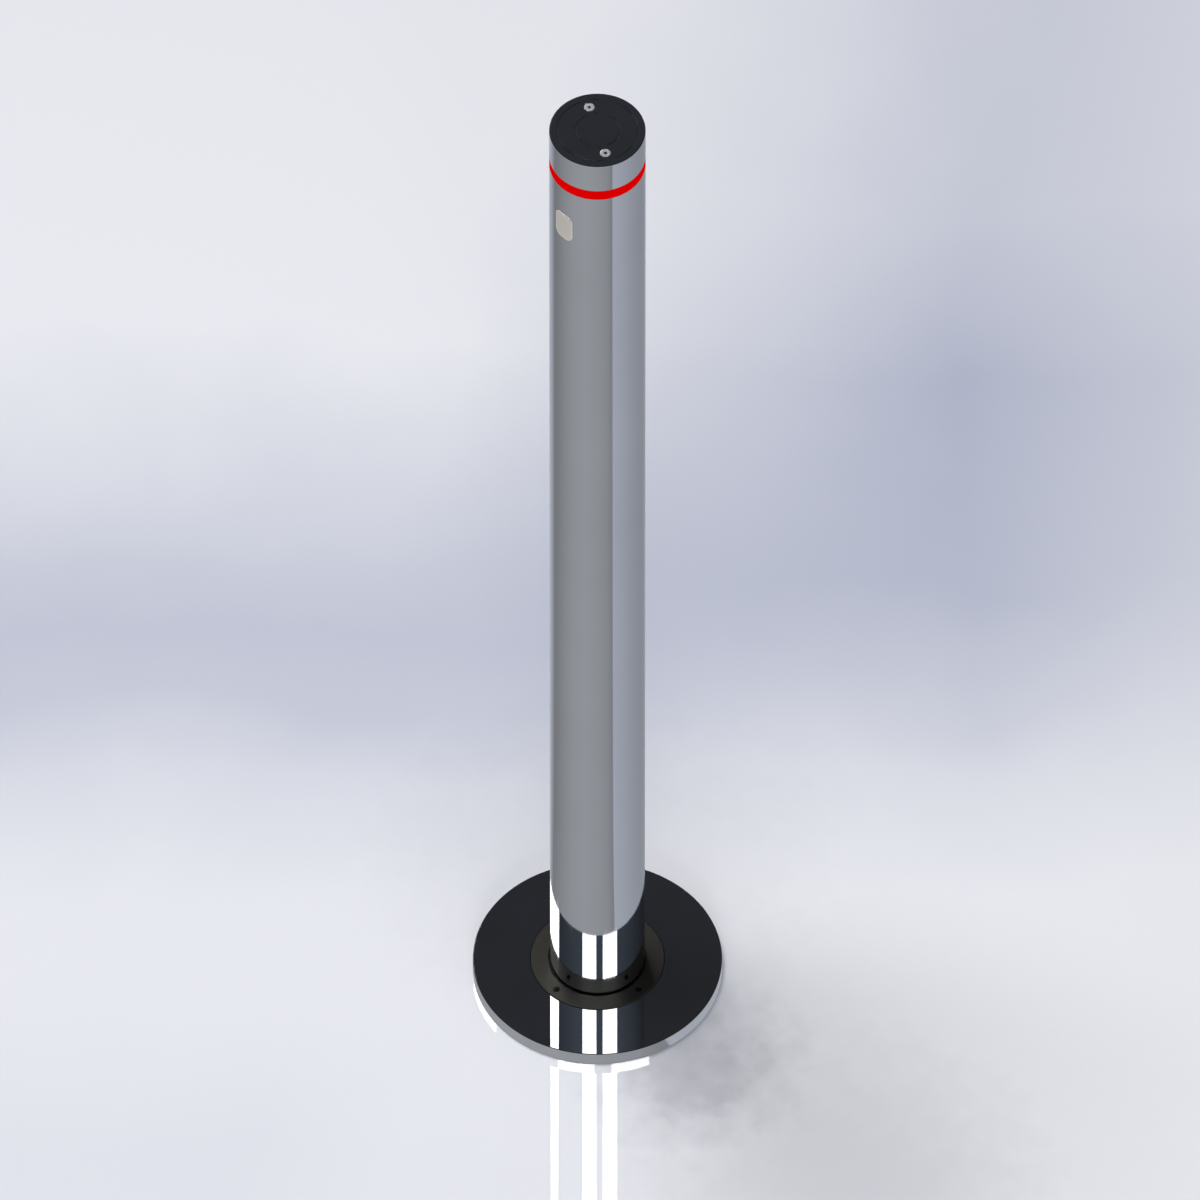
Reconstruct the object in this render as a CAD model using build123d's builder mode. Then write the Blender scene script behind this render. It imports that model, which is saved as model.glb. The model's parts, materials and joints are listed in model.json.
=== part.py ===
from build123d import *
from math import cos, radians, sin, sqrt
import os

# Automatic rising bollard, in millimetres.
# A slim steel post slides out of a casing that is let into the ground. A steep screw, turned by
# a gear motor at the foot of the casing, lifts it, and three rods keep it from turning.
# +Z is up, the reader window faces -Y, and the origin is the centre of the base disc's
# underside, which lies on the paving. The post is drawn raised.

# Post
post_diameter = 76.1
post_wall = 3.0
post_height = 1025.0
post_overlap = 150.0
post_rest_height = 1.0

# Head of the post
light_ring_height = 10.4
light_ring_wall = 4.0
head_sleeve_height = 28.2
cap_flange_thickness = 1.5
cap_spigot_height = 8.5
cap_inner_groove_radius = 17.3
cap_outer_groove_radius = 31.8
cap_groove_width = 0.7
cap_groove_depth = 0.4
cap_screw_radius = 24.5
cap_screw_angle = 150.0
cap_screw_count = 2
cap_screw_length = 18.0
seal_ring_thickness = 2.0
core_foot_height = 22.0
core_bore = 24.0
core_waist_depth = 4.0
wire_hole_diameter = 6.0
led_strip_thickness = 1.4
led_strip_margin = 1.0
led_count = 16
led_side = 3.6
led_height = 1.35
led_proud = 0.9

# Reader window and what stands behind it
window_width = 18.0
window_height = 28.8
window_corner = 6.0
window_below_cap = 84.6
window_proud = 0.3
window_lip = 2.5
window_lip_thickness = 2.4
reader_width = 24.0
reader_height = 36.0
reader_depth = 10.0
reader_corner = 3.0
reader_wall = 1.5
reader_post = 3.0
board_thickness = 1.6
chip_side = 7.0
chip_height = 1.4
bracket_thickness = 1.5
bracket_foot = 9.0
bracket_screw_spacing = 14.0
bracket_screw_length = 9.0

# Base disc, collar and wiper
disc_diameter = 200.0
disc_thickness = 12.0
disc_seat_depth = 2.0
collar_gap = 1.45
collar_band = 14.0
collar_thickness = 4.0
collar_proud = 0.5
collar_screw_count = 4
collar_screw_length = 9.0
disc_screw_count = 4
disc_screw_angle = 45.0
disc_screw_length = 20.0
seal_width = 2.0
seal_height = 5.0
seal_lip_height = 1.5
ground_stud_count = 4
ground_stud_angle = 45.0
ground_stud_bore = 6.8
ground_stud_depth = 9.0

# Casing in the ground
head_rim = 16.5
head_flange_thickness = 16.0
bush_wall = 2.65
bush_length = 54.0
bush_ledge = 4.0
bush_groove_width = 3.0
bush_groove_depth = 1.2
bush_groove_count = 3
head_screw_count = 3
head_screw_angle = 90.0
head_screw_level = -35.0
head_screw_length = 14.0
casing_wall = 4.0
base_plate_thickness = 8.0
drive_clearance = 16.0
drain_pipe_diameter = 40.0
drain_pipe_wall = 3.0
drain_pipe_length = 42.0
lug_depth = 700.0
lug_count = 4
lug_angle = 45.0
lug_width = 40.0
lug_thickness = 6.0
lug_leg = 60.0
lug_reach = 50.0

# Cable entry
cable_depth = 110.0
boss_radius = 16.0
boss_length = 14.0
gland_thread_radius = 10.0
gland_inset = 1.5
gland_bore_radius = 5.0
gland_hex = 24.0
gland_hex_length = 7.0
gland_neck_radius = 8.5
gland_neck_length = 8.0
gland_insert_wall = 2.0
gland_insert_length = 6.0
gland_nut_hex = 22.0
gland_nut_roof = 5.0

# Guide rods, stops and limit sensors
rod_diameter = 10.0
rod_thread_diameter = 8.0
rod_count = 3
rod_angle = 30.0
rod_grip = 30.0
rod_nut_width = 13.0
rod_nut_height = 6.5
stop_diameter = 18.0
stop_side_clearance = 2.0
stop_collar_height = 10.0
stop_slit = 1.5
upper_buffer_height = 6.0
buffer_waist_depth = 1.5
sensor_diameter = 8.0
sensor_length = 46.0
sensor_tail_diameter = 6.0
sensor_tail_length = 5.0
sensor_angle = 20.0
sensor_distance = 2.0
sensor_nut_width = 13.0
sensor_nut_height = 4.0
clamp_depth = 13.0
clamp_overhang = 7.5
clamp_height = 10.0
clamp_corner = 3.0

# Lifting carriage at the foot of the post
carriage_side_gap = 2.5
carriage_thickness = 18.0
carriage_spigot_height = 22.0
carriage_screw_count = 3
carriage_screw_angle = 90.0
carriage_screw_length = 12.0
rod_bush_wall = 1.7
rod_bush_flange = 1.0
rod_bush_flange_thickness = 2.0
nut_wall = 6.0
nut_length = 36.0
nut_flange_width = 11.0
nut_flange_thickness = 10.0
nut_screw_count = 4
nut_screw_angle = 45.0
nut_screw_length = 18.0

# Lifting screw and its bearing
screw_diameter = 20.0
screw_headroom = 10.0
steady_height = 10.0
steady_hole_count = 4
steady_hole_radius = 7.25
stub_step = 4.0
clip_thickness = 1.2
clip_groove_depth = 0.8
clip_width = 2.4
journal_step = 1.5
shaft_step = 2.5
bearing_section = 11.5
bearing_width = 12.0
ball_diameter = 6.7
ball_count = 8
ball_gap = 0.2
ring_land = 2.1
locknut_height = 6.0

# Drive under the screw
drive_plate_thickness = 16.0
drive_plate_space = 24.0
drive_plate_drain = 7.0
bearing_cap_width = 11.0
bearing_cap_thickness = 3.0
bearing_cap_clearance = 0.85
bearing_cap_screw_count = 4
bearing_cap_screw_length = 10.0
hub_wall = 14.0
hub_length = 14.0
claw_length = 8.0
claw_angle = 40.0
claw_count = 3
claw_depth = 10.0
lantern_clearance = 5.0
lantern_wall = 13.0
lantern_length = 42.0
lantern_window_width = 16.0
lantern_window_height = 24.0
lantern_window_corner = 5.0
drive_screw_count = 4
drive_screw_angle = 45.0
drive_screw_bite = 10.0
gearbox_flange_thickness = 8.0
gearbox_length = 48.0
gearbox_stage = 16.0
gearbox_side_clearance = 1.25
gearbox_groove_depth = 1.0
shaft_seat_depth = 6.0
motor_diameter = 63.0
motor_length = 100.0
motor_band_depth = 1.5
motor_bell_length = 22.0
brake_diameter = 60.0
brake_length = 32.0
brake_step = 6.0

# Clearances and edges
sliding_gap = 0.3
fit_gap = 0.1
thread_gap = 0.05
edge_chamfer = 0.4
rod_chamfer = 1.0

# Socket screws: shank radius, head radius, socket radius and socket depth
M3 = (1.5, 2.75, 1.15, 1.2)
M4 = (2.0, 4.2, 1.45, 1.6)
M5 = (2.5, 4.25, 2.3, 2.5)

# Radii that follow
post_radius = post_diameter / 2
post_bore_radius = post_radius - post_wall
spigot_radius = post_bore_radius - fit_gap
core_waist_radius = spigot_radius - core_waist_depth
collar_bore_radius = post_radius + collar_gap
collar_radius = collar_bore_radius + collar_band
collar_screw_radius = collar_bore_radius + collar_band / 2
seal_radius = collar_bore_radius + seal_width
bush_bore_radius = post_radius + sliding_gap
bush_radius = bush_bore_radius + bush_wall
rod_radius = rod_diameter / 2
rod_thread_radius = rod_thread_diameter / 2
stop_radius = stop_diameter / 2
rod_place_radius = collar_bore_radius + stop_radius
casing_bore_radius = rod_place_radius + stop_radius + stop_side_clearance
casing_radius = casing_bore_radius + casing_wall
hub_radius = casing_bore_radius - fit_gap
head_radius = casing_radius + head_rim
ground_stud_radius = (head_radius + disc_diameter / 2) / 2
carriage_radius = casing_bore_radius - carriage_side_gap
rod_bush_radius = rod_radius + sliding_gap + rod_bush_wall
screw_radius = screw_diameter / 2
nut_radius = screw_radius + nut_wall
nut_flange_radius = nut_radius + nut_flange_width
nut_screw_radius = nut_radius + nut_flange_width / 2
stub_radius = screw_radius - stub_step
journal_radius = screw_radius - journal_step
shaft_radius = journal_radius - shaft_step
bearing_radius = journal_radius + bearing_section
ball_circle_radius = journal_radius + bearing_section / 2
ball_radius = ball_diameter / 2
inner_land_radius = ball_circle_radius - ring_land
outer_land_radius = ball_circle_radius + ring_land
bearing_cap_bore_radius = inner_land_radius + bearing_cap_clearance
bearing_cap_radius = bearing_radius + bearing_cap_width
bearing_cap_screw_radius = bearing_radius + bearing_cap_width / 2
coupling_radius = shaft_radius + hub_wall
claw_inner_radius = coupling_radius - claw_depth
lantern_bore_radius = coupling_radius + lantern_clearance
lantern_radius = lantern_bore_radius + lantern_wall
drive_screw_radius = lantern_bore_radius + lantern_wall / 2
gearbox_radius = drive_screw_radius - M5[1] - gearbox_side_clearance
drain_bore_radius = drain_pipe_diameter / 2 - drain_pipe_wall
sensor_radius = sensor_diameter / 2

# Levels that follow, from the cap down to the foot of the casing
cap_top = disc_thickness + post_height
sleeve_top = cap_top - cap_flange_thickness
ring_top = sleeve_top - head_sleeve_height
tube_top = ring_top - light_ring_height
core_top = sleeve_top - cap_spigot_height
core_foot = tube_top - core_foot_height
window_level = cap_top - window_below_cap
collar_top = disc_thickness + collar_proud
recess_floor = collar_top - collar_thickness
seal_foot = recess_floor - seal_height
head_top = disc_seat_depth
flange_foot = head_top - head_flange_thickness
ledge_level = head_top - bush_length
hub_foot = ledge_level - bush_ledge
rod_top = hub_foot + rod_grip
post_foot = -post_overlap
stop_level = post_foot + sliding_gap
stop_collar_foot = stop_level + upper_buffer_height
stop_collar_top = stop_collar_foot + stop_collar_height
spigot_top = post_foot + carriage_spigot_height
carriage_foot = post_foot - carriage_thickness
post_stroke = post_height - post_rest_height
lowered_carriage_foot = carriage_foot - post_stroke
lowered_bush_foot = lowered_carriage_foot - rod_bush_flange_thickness
drive_plate_top = lowered_bush_foot - drive_plate_space
drive_plate_foot = drive_plate_top - drive_plate_thickness
bearing_foot = drive_plate_top - bearing_width
locknut_foot = bearing_foot - locknut_height
steady_foot = spigot_top + screw_headroom
steady_top = steady_foot + steady_height
lantern_foot = drive_plate_foot - lantern_length
claw_top = (drive_plate_foot + lantern_foot + claw_length) / 2
claw_foot = claw_top - claw_length
gearbox_flange_foot = lantern_foot - gearbox_flange_thickness
gearbox_foot = gearbox_flange_foot - gearbox_length
motor_foot = gearbox_foot - motor_length
brake_foot = motor_foot - brake_length
casing_foot = brake_foot - drive_clearance
base_plate_foot = casing_foot - base_plate_thickness
drain_foot = base_plate_foot - drain_pipe_length

os.makedirs("parts", exist_ok=True)


def keep(name, part):
    """Label a finished sub-part and write it to its own file."""
    part.label = name
    export_step(part, f"parts/{name}.step")


def angles(count, start):
    """Evenly spaced angles round the post, in degrees."""
    return [start + 360 * index / count for index in range(count)]


def upright(radius, level, count, start):
    """Planes that face up, spread over a circle round the post."""
    return [
        Plane(origin=(radius * cos(radians(a)), radius * sin(radians(a)), level))
        for a in angles(count, start)
    ]


def outward(radius, level, count, start):
    """Planes that face away from the post's axis, spread over a circle."""
    return [
        Plane(
            origin=(radius * cos(radians(a)), radius * sin(radians(a)), level),
            z_dir=(cos(radians(a)), sin(radians(a)), 0),
        )
        for a in angles(count, start)
    ]


def tube(outer_radius, inner_radius, foot, top):
    """A plain round tube or ring between two levels."""
    with BuildPart() as piece:
        with BuildSketch(Plane.XY.offset(foot)):
            Circle(outer_radius)
            Circle(inner_radius, mode=Mode.SUBTRACT)
        extrude(amount=top - foot)
    return piece.part


def turned(*outline):
    """A turned piece, from its outline as (radius, level) points."""
    with BuildPart() as piece:
        with BuildSketch(Plane.XZ):
            with BuildLine():
                Polyline(*outline, close=True)
            make_face()
        revolve(axis=Axis.Z)
    return piece.part


def round_hole(radius, planes, depth):
    """A cutter for round holes that go down from their planes."""
    with BuildPart() as cutter:
        with BuildSketch(*planes):
            Circle(radius)
        extrude(amount=-depth)
    return cutter.part


def sunk_hole(size, planes, depth):
    """A cutter for countersunk clearance holes that go down from their planes."""
    shank, head = size[:2]
    cone = head - shank
    with BuildPart() as cutter:
        with BuildSketch(*planes):
            Circle(head)
        extrude(amount=-cone, taper=45)
        with BuildSketch(*planes):
            Circle(shank + fit_gap)
        extrude(amount=-depth)
    return cutter.part


def sunk_screws(size, planes, length):
    """Countersunk socket screws, their flat heads flush with their planes."""
    shank, head, socket, socket_depth = size
    cone = head - shank
    with BuildPart() as piece:
        with BuildSketch(*planes):
            Circle(head - thread_gap)
        extrude(amount=-cone, taper=45)
        with BuildSketch(*planes):
            Circle(shank - thread_gap)
        extrude(amount=-length)
        with BuildSketch(*planes):
            RegularPolygon(socket, 6)
        extrude(amount=-socket_depth, mode=Mode.SUBTRACT)
    return piece.part


def hanging_screws(size, planes, length):
    """Socket head screws that go up from their planes, with the heads below them."""
    shank, head, socket, socket_depth = size
    head_height = 2 * shank
    with BuildPart() as piece:
        with BuildSketch(*planes):
            Circle(head)
        extrude(amount=-head_height)
        with BuildSketch(*planes):
            Circle(shank - thread_gap)
        extrude(amount=length)
        with BuildSketch(*[plane.offset(-head_height) for plane in planes]):
            RegularPolygon(socket, 6)
        extrude(amount=socket_depth, mode=Mode.SUBTRACT)
    return piece.part


def at_rods(part):
    """Copies of a piece that is modelled on the axis, one at each guide rod."""
    with BuildPart() as copies:
        with PolarLocations(rod_place_radius, rod_count, start_angle=rod_angle):
            add(part)
    return copies.part


def claws(foot, height, inner_radius, outer_radius, count, angle, start):
    """Sector-shaped claws that stand on a level."""
    with BuildPart() as piece:
        for middle in angles(count, start):
            with BuildSketch(Plane.XY.offset(foot)):
                with BuildLine():
                    outer = CenterArc((0, 0), outer_radius, middle - angle / 2, angle)
                    inner = CenterArc((0, 0), inner_radius, middle - angle / 2, angle)
                    Line(outer @ 0, inner @ 0)
                    Line(outer @ 1, inner @ 1)
                make_face()
            extrude(amount=height)
    return piece.part


# Places of the screws and holes that more than one piece shares
collar_screw_places = upright(collar_screw_radius, collar_top, collar_screw_count, 0)
collar_tap_places = upright(collar_screw_radius, recess_floor, collar_screw_count, 0)
disc_screw_places = upright(
    collar_screw_radius, recess_floor, disc_screw_count, disc_screw_angle
)
disc_tap_places = upright(collar_screw_radius, head_top, disc_screw_count, disc_screw_angle)
stud_places = upright(
    ground_stud_radius, ground_stud_depth, ground_stud_count, ground_stud_angle
)
head_screw_places = outward(
    casing_radius, head_screw_level, head_screw_count, head_screw_angle
)
rod_places = upright(rod_place_radius, rod_top, rod_count, rod_angle)

# Base disc: a round plate on the paving, with a recess for the collar, a seat over the casing
# head and tapped holes below
with BuildPart() as base_disc:
    with BuildSketch():
        Circle(disc_diameter / 2)
        Circle(collar_bore_radius, mode=Mode.SUBTRACT)
    extrude(amount=disc_thickness)
    chamfer(base_disc.edges().group_by(Axis.Z)[-1].sort_by(SortBy.LENGTH)[-1], length=edge_chamfer)
    with BuildSketch(Plane.XY.offset(recess_floor)):
        Circle(collar_radius + fit_gap)
    extrude(amount=collar_thickness, mode=Mode.SUBTRACT)
    with BuildSketch(Plane.XY.offset(seal_foot)):
        Circle(seal_radius)
    extrude(amount=seal_height, mode=Mode.SUBTRACT)
    with BuildSketch():
        Circle(head_radius + fit_gap)
    extrude(amount=disc_seat_depth, mode=Mode.SUBTRACT)
    add(
        round_hole(M3[0], collar_tap_places, collar_screw_length - collar_thickness),
        mode=Mode.SUBTRACT,
    )
    add(sunk_hole(M5, disc_screw_places, recess_floor), mode=Mode.SUBTRACT)
    add(round_hole(ground_stud_bore / 2, stud_places, ground_stud_depth), mode=Mode.SUBTRACT)
keep("base_disc", base_disc.part)

# Collar: a flat ring let into the disc round the post, which hides the disc's own screws
with BuildPart() as collar_ring:
    with BuildSketch(Plane.XY.offset(recess_floor)):
        Circle(collar_radius)
        Circle(collar_bore_radius, mode=Mode.SUBTRACT)
    extrude(amount=collar_thickness)
    chamfer(collar_ring.edges().group_by(Axis.Z)[-1], length=edge_chamfer)
    add(sunk_hole(M3, collar_screw_places, collar_thickness), mode=Mode.SUBTRACT)
keep("collar_ring", collar_ring.part)
keep("collar_screws", sunk_screws(M3, collar_screw_places, collar_screw_length))
keep("disc_screws", sunk_screws(M5, disc_screw_places, disc_screw_length))

# Wiper seal under the collar: a rubber ring whose thin lip leans in to the post
wiper_seal = turned(
    (seal_radius, seal_foot),
    (seal_radius, recess_floor),
    (bush_bore_radius, recess_floor),
    (bush_bore_radius, recess_floor - seal_lip_height),
    (collar_bore_radius, recess_floor - 2 * seal_lip_height),
    (collar_bore_radius, seal_foot),
)
keep("wiper_seal", wiper_seal)

# Casing head: a flange under the disc and a long hub that holds the guide bush and the rods
disc_tap_depth = disc_screw_length - (recess_floor - head_top)
with BuildPart() as casing_head:
    add(
        turned(
            (head_radius, head_top),
            (head_radius, flange_foot),
            (hub_radius, flange_foot),
            (hub_radius, hub_foot),
            (collar_bore_radius, hub_foot),
            (collar_bore_radius, ledge_level),
            (bush_radius, ledge_level),
            (bush_radius, head_top),
        )
    )
    add(round_hole(M5[0], disc_tap_places, disc_tap_depth), mode=Mode.SUBTRACT)
    add(round_hole(rod_radius, rod_places, rod_grip), mode=Mode.SUBTRACT)
    add(round_hole(M5[0], head_screw_places, head_screw_length), mode=Mode.SUBTRACT)
keep("casing_head", casing_head.part)
keep("head_screws", sunk_screws(M5, head_screw_places, head_screw_length))

# Guide bush: a long plastic sleeve with round grooves that hold grease
with BuildPart() as guide_bush:
    add(tube(bush_radius, bush_bore_radius, ledge_level, head_top))
    for index in range(bush_groove_count):
        groove_level = ledge_level + bush_length * (index + 1) / (bush_groove_count + 1)
        with BuildSketch(Plane.XY.offset(groove_level)):
            Circle(bush_bore_radius + bush_groove_depth)
        extrude(amount=bush_groove_width, mode=Mode.SUBTRACT)
keep("guide_bush", guide_bush.part)

# Casing tube, with the holes of the radial screws and of the cable
cable_place = Plane(origin=(0, 0, -cable_depth), x_dir=(1, 0, 0), z_dir=(0, 1, 0))
with BuildPart() as casing_tube:
    add(tube(casing_radius, casing_bore_radius, casing_foot, flange_foot))
    add(sunk_hole(M5, head_screw_places, head_screw_length), mode=Mode.SUBTRACT)
    with BuildSketch(cable_place):
        Circle(gland_thread_radius)
    extrude(amount=casing_radius, mode=Mode.SUBTRACT)
keep("casing_tube", casing_tube.part)

# Casing base: the plate that closes the casing, with its drain spigot
casing_base = turned(
    (casing_radius, casing_foot),
    (casing_radius, base_plate_foot),
    (drain_pipe_diameter / 2, base_plate_foot),
    (drain_pipe_diameter / 2, drain_foot),
    (drain_bore_radius, drain_foot),
    (drain_bore_radius, casing_foot),
)
keep("casing_base", casing_base)

# Anchor lugs: bent straps welded round the casing, which the concrete holds
with BuildPart() as anchor_lugs:
    for place in outward(casing_radius, -lug_depth, lug_count, lug_angle):
        side = Plane(origin=place.origin, x_dir=place.z_dir, z_dir=place.z_dir.cross(Vector(0, 0, 1)))
        with BuildSketch(side):
            with BuildLine():
                Polyline(
                    (-lug_thickness, lug_leg),
                    (lug_thickness, lug_leg),
                    (lug_thickness, lug_thickness),
                    (lug_reach, lug_thickness),
                    (lug_reach, 0),
                    (-lug_thickness, 0),
                    close=True,
                )
            make_face()
        extrude(amount=lug_width / 2, both=True)
    with BuildSketch(Plane.XY.offset(-lug_depth)):
        Circle(casing_radius)
    extrude(amount=lug_leg, mode=Mode.SUBTRACT)
keep("anchor_lugs", anchor_lugs.part)

# Cable entry at the back of the casing: a welded boss, the gland, its insert and its dome nut
boss_end = casing_radius + boss_length
gland_hex_end = boss_end + gland_hex_length
neck_end = gland_hex_end + gland_neck_length
insert_radius = gland_bore_radius + gland_insert_wall
gland_start = casing_radius + gland_inset
with BuildPart() as cable_boss:
    with BuildSketch(cable_place):
        Circle(boss_radius)
        Circle(gland_thread_radius, mode=Mode.SUBTRACT)
    extrude(amount=boss_end)
    with BuildSketch(Plane.XY.offset(-cable_depth - boss_radius)):
        Circle(casing_radius)
    extrude(amount=2 * boss_radius, mode=Mode.SUBTRACT)
keep("cable_boss", cable_boss.part)

with BuildPart() as cable_gland:
    with BuildSketch(cable_place.offset(gland_start)):
        Circle(gland_thread_radius - thread_gap)
    extrude(amount=boss_end - gland_start)
    with BuildSketch(cable_place.offset(boss_end)):
        RegularPolygon(gland_hex / 2, 6, major_radius=False)
    extrude(amount=gland_hex_length)
    with BuildSketch(cable_place.offset(gland_hex_end)):
        Circle(gland_neck_radius)
    extrude(amount=gland_neck_length)
    with BuildSketch(cable_place.offset(gland_start)):
        Circle(gland_bore_radius)
    extrude(amount=neck_end - gland_start, mode=Mode.SUBTRACT)
    with BuildSketch(cable_place.offset(neck_end - gland_insert_length)):
        Circle(insert_radius)
    extrude(amount=gland_insert_length, mode=Mode.SUBTRACT)
keep("cable_gland", cable_gland.part)

with BuildPart() as gland_insert:
    with BuildSketch(cable_place.offset(neck_end - gland_insert_length)):
        Circle(insert_radius - fit_gap)
        Circle(gland_bore_radius, mode=Mode.SUBTRACT)
    extrude(amount=gland_insert_length)
keep("gland_insert", gland_insert.part)

with BuildPart() as gland_nut:
    with BuildSketch(cable_place.offset(gland_hex_end)):
        RegularPolygon(gland_nut_hex / 2, 6, major_radius=False)
    extrude(amount=gland_neck_length + gland_nut_roof)
    fillet(gland_nut.faces().sort_by(Axis.Y)[-1].edges(), radius=gland_insert_wall)
    with BuildSketch(cable_place.offset(gland_hex_end)):
        Circle(gland_neck_radius + thread_gap)
    extrude(amount=gland_neck_length, mode=Mode.SUBTRACT)
    with BuildSketch(cable_place.offset(neck_end)):
        Circle(gland_bore_radius)
    extrude(amount=gland_nut_roof, mode=Mode.SUBTRACT)
keep("gland_nut", gland_nut.part)

# Guide rods: they hang from the casing head, and their threaded ends carry the drive plate
guide_rod = turned(
    (0, rod_top),
    (rod_radius - rod_chamfer, rod_top),
    (rod_radius, rod_top - rod_chamfer),
    (rod_radius, drive_plate_top),
    (rod_thread_radius, drive_plate_top),
    (rod_thread_radius, drive_plate_foot - rod_nut_height - rod_chamfer),
    (0, drive_plate_foot - rod_nut_height - rod_chamfer),
)
keep("guide_rods", at_rods(guide_rod))

with BuildPart() as rod_nut:
    with BuildSketch(Plane.XY.offset(drive_plate_foot)):
        RegularPolygon(rod_nut_width / 2, 6, major_radius=False)
        Circle(rod_thread_radius + thread_gap, mode=Mode.SUBTRACT)
    extrude(amount=-rod_nut_height)
keep("rod_nuts", at_rods(rod_nut.part))

# Stops on the rods: slit clamp collars with rubber buffers below, and tall buffers at the foot
with BuildPart() as stop_collar:
    add(tube(stop_radius, rod_radius + thread_gap, stop_collar_foot, stop_collar_top))
    with BuildSketch(Plane.XY.offset(stop_collar_foot)):
        with Locations((stop_radius / 2, 0)):
            Rectangle(stop_radius, stop_slit)
    extrude(amount=stop_collar_height, mode=Mode.SUBTRACT)
keep("stop_collars", at_rods(stop_collar.part))

upper_buffer = tube(stop_radius, rod_radius + thread_gap, stop_level, stop_collar_foot)
keep("upper_buffers", at_rods(upper_buffer))

lower_buffer_top = lowered_bush_foot - sliding_gap
lower_buffer_middle = (drive_plate_top + lower_buffer_top) / 2
lower_buffer = turned(
    (rod_radius + thread_gap, drive_plate_top),
    (stop_radius, drive_plate_top),
    (stop_radius - buffer_waist_depth, lower_buffer_middle),
    (stop_radius, lower_buffer_top),
    (rod_radius + thread_gap, lower_buffer_top),
)
keep("lower_buffers", at_rods(lower_buffer))

# Limit sensors: the upper one hangs in a clamp on a rod, the lower one stands in the plate
upper_face = post_foot + sensor_distance
upper_sensor_place = upright(rod_place_radius, upper_face, 1, rod_angle + sensor_angle)[0]
clamp_reach = rod_place_radius * cos(radians(sensor_angle / 2))
clamp_width = 2 * rod_place_radius * sin(radians(sensor_angle / 2)) + 2 * clamp_overhang
with BuildPart() as upper_limit_sensor:
    with BuildSketch(upper_sensor_place):
        Circle(sensor_radius)
    extrude(amount=sensor_length)
    with BuildSketch(upper_sensor_place.offset(sensor_length)):
        Circle(sensor_tail_diameter / 2)
    extrude(amount=sensor_tail_length)
keep("upper_limit_sensor", upper_limit_sensor.part)

with BuildPart() as sensor_clamp:
    with BuildSketch(Plane.XY.offset(stop_collar_top)):
        with PolarLocations(clamp_reach, 1, start_angle=rod_angle + sensor_angle / 2):
            RectangleRounded(clamp_depth, clamp_width, clamp_corner)
        with PolarLocations(rod_place_radius, 1, start_angle=rod_angle):
            Circle(rod_radius + thread_gap, mode=Mode.SUBTRACT)
        with PolarLocations(rod_place_radius, 1, start_angle=rod_angle + sensor_angle):
            Circle(sensor_radius + thread_gap, mode=Mode.SUBTRACT)
    extrude(amount=clamp_height)
keep("sensor_clamp", sensor_clamp.part)

lower_face = lowered_carriage_foot - sensor_distance
lower_sensor_place = upright(rod_place_radius, lower_face, 1, rod_angle + sensor_angle)[0]
lower_nut_place = upright(rod_place_radius, drive_plate_top, 1, rod_angle + sensor_angle)[0]
with BuildPart() as lower_limit_sensor:
    with BuildSketch(lower_sensor_place):
        Circle(sensor_radius)
    extrude(amount=-sensor_length)
    with BuildSketch(lower_sensor_place.offset(-sensor_length)):
        Circle(sensor_tail_diameter / 2)
    extrude(amount=-sensor_tail_length)
    with BuildSketch(lower_nut_place):
        RegularPolygon(sensor_nut_width / 2, 6, major_radius=False)
    extrude(amount=sensor_nut_height)
keep("lower_limit_sensor", lower_limit_sensor.part)

# Drive plate: carries the bearing from above and the drive from below
plate_radius = casing_bore_radius - sliding_gap
drive_tap_places = upright(
    drive_screw_radius,
    drive_plate_foot + drive_screw_bite,
    drive_screw_count,
    drive_screw_angle,
)
bearing_cap_places = upright(
    bearing_cap_screw_radius, drive_plate_top + bearing_cap_thickness, bearing_cap_screw_count, 0
)
rod_thread_places = upright(rod_place_radius, drive_plate_top, rod_count, rod_angle)
drain_places = upright(
    rod_place_radius, drive_plate_top, rod_count, rod_angle + 180 / rod_count
)
with BuildPart() as drive_plate:
    with BuildSketch(Plane.XY.offset(drive_plate_foot)):
        Circle(plate_radius)
        Circle(bearing_cap_bore_radius, mode=Mode.SUBTRACT)
    extrude(amount=drive_plate_thickness)
    with BuildSketch(Plane.XY.offset(bearing_foot)):
        Circle(bearing_radius)
    extrude(amount=bearing_width, mode=Mode.SUBTRACT)
    add(
        round_hole(rod_thread_radius + thread_gap, rod_thread_places, drive_plate_thickness),
        mode=Mode.SUBTRACT,
    )
    add(
        round_hole(drive_plate_drain / 2, drain_places, drive_plate_thickness),
        mode=Mode.SUBTRACT,
    )
    add(
        round_hole(sensor_radius + thread_gap, [lower_nut_place], drive_plate_thickness),
        mode=Mode.SUBTRACT,
    )
    add(round_hole(M5[0], drive_tap_places, drive_screw_bite), mode=Mode.SUBTRACT)
    add(
        round_hole(M4[0], bearing_cap_places, bearing_cap_screw_length),
        mode=Mode.SUBTRACT,
    )
keep("drive_plate", drive_plate.part)

# Ball bearing: outer ring in the plate, inner ring on the screw, and the balls in their grooves
groove_level = bearing_foot + bearing_width / 2
ball_planes = upright(ball_circle_radius, groove_level, ball_count, 0)
with BuildPart(mode=Mode.PRIVATE) as ball_groove:
    Torus(ball_circle_radius, ball_radius + ball_gap)
groove_cutter = ball_groove.part.moved(Location((0, 0, groove_level)))
with BuildPart() as bearing_outer_ring:
    add(
        tube(
            bearing_radius - thread_gap, outer_land_radius, bearing_foot, drive_plate_top
        )
    )
    add(groove_cutter, mode=Mode.SUBTRACT)
keep("bearing_outer_ring", bearing_outer_ring.part)

with BuildPart() as bearing_inner_ring:
    add(
        tube(
            inner_land_radius, journal_radius + thread_gap, bearing_foot, drive_plate_top
        )
    )
    add(groove_cutter, mode=Mode.SUBTRACT)
keep("bearing_inner_ring", bearing_inner_ring.part)

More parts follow.
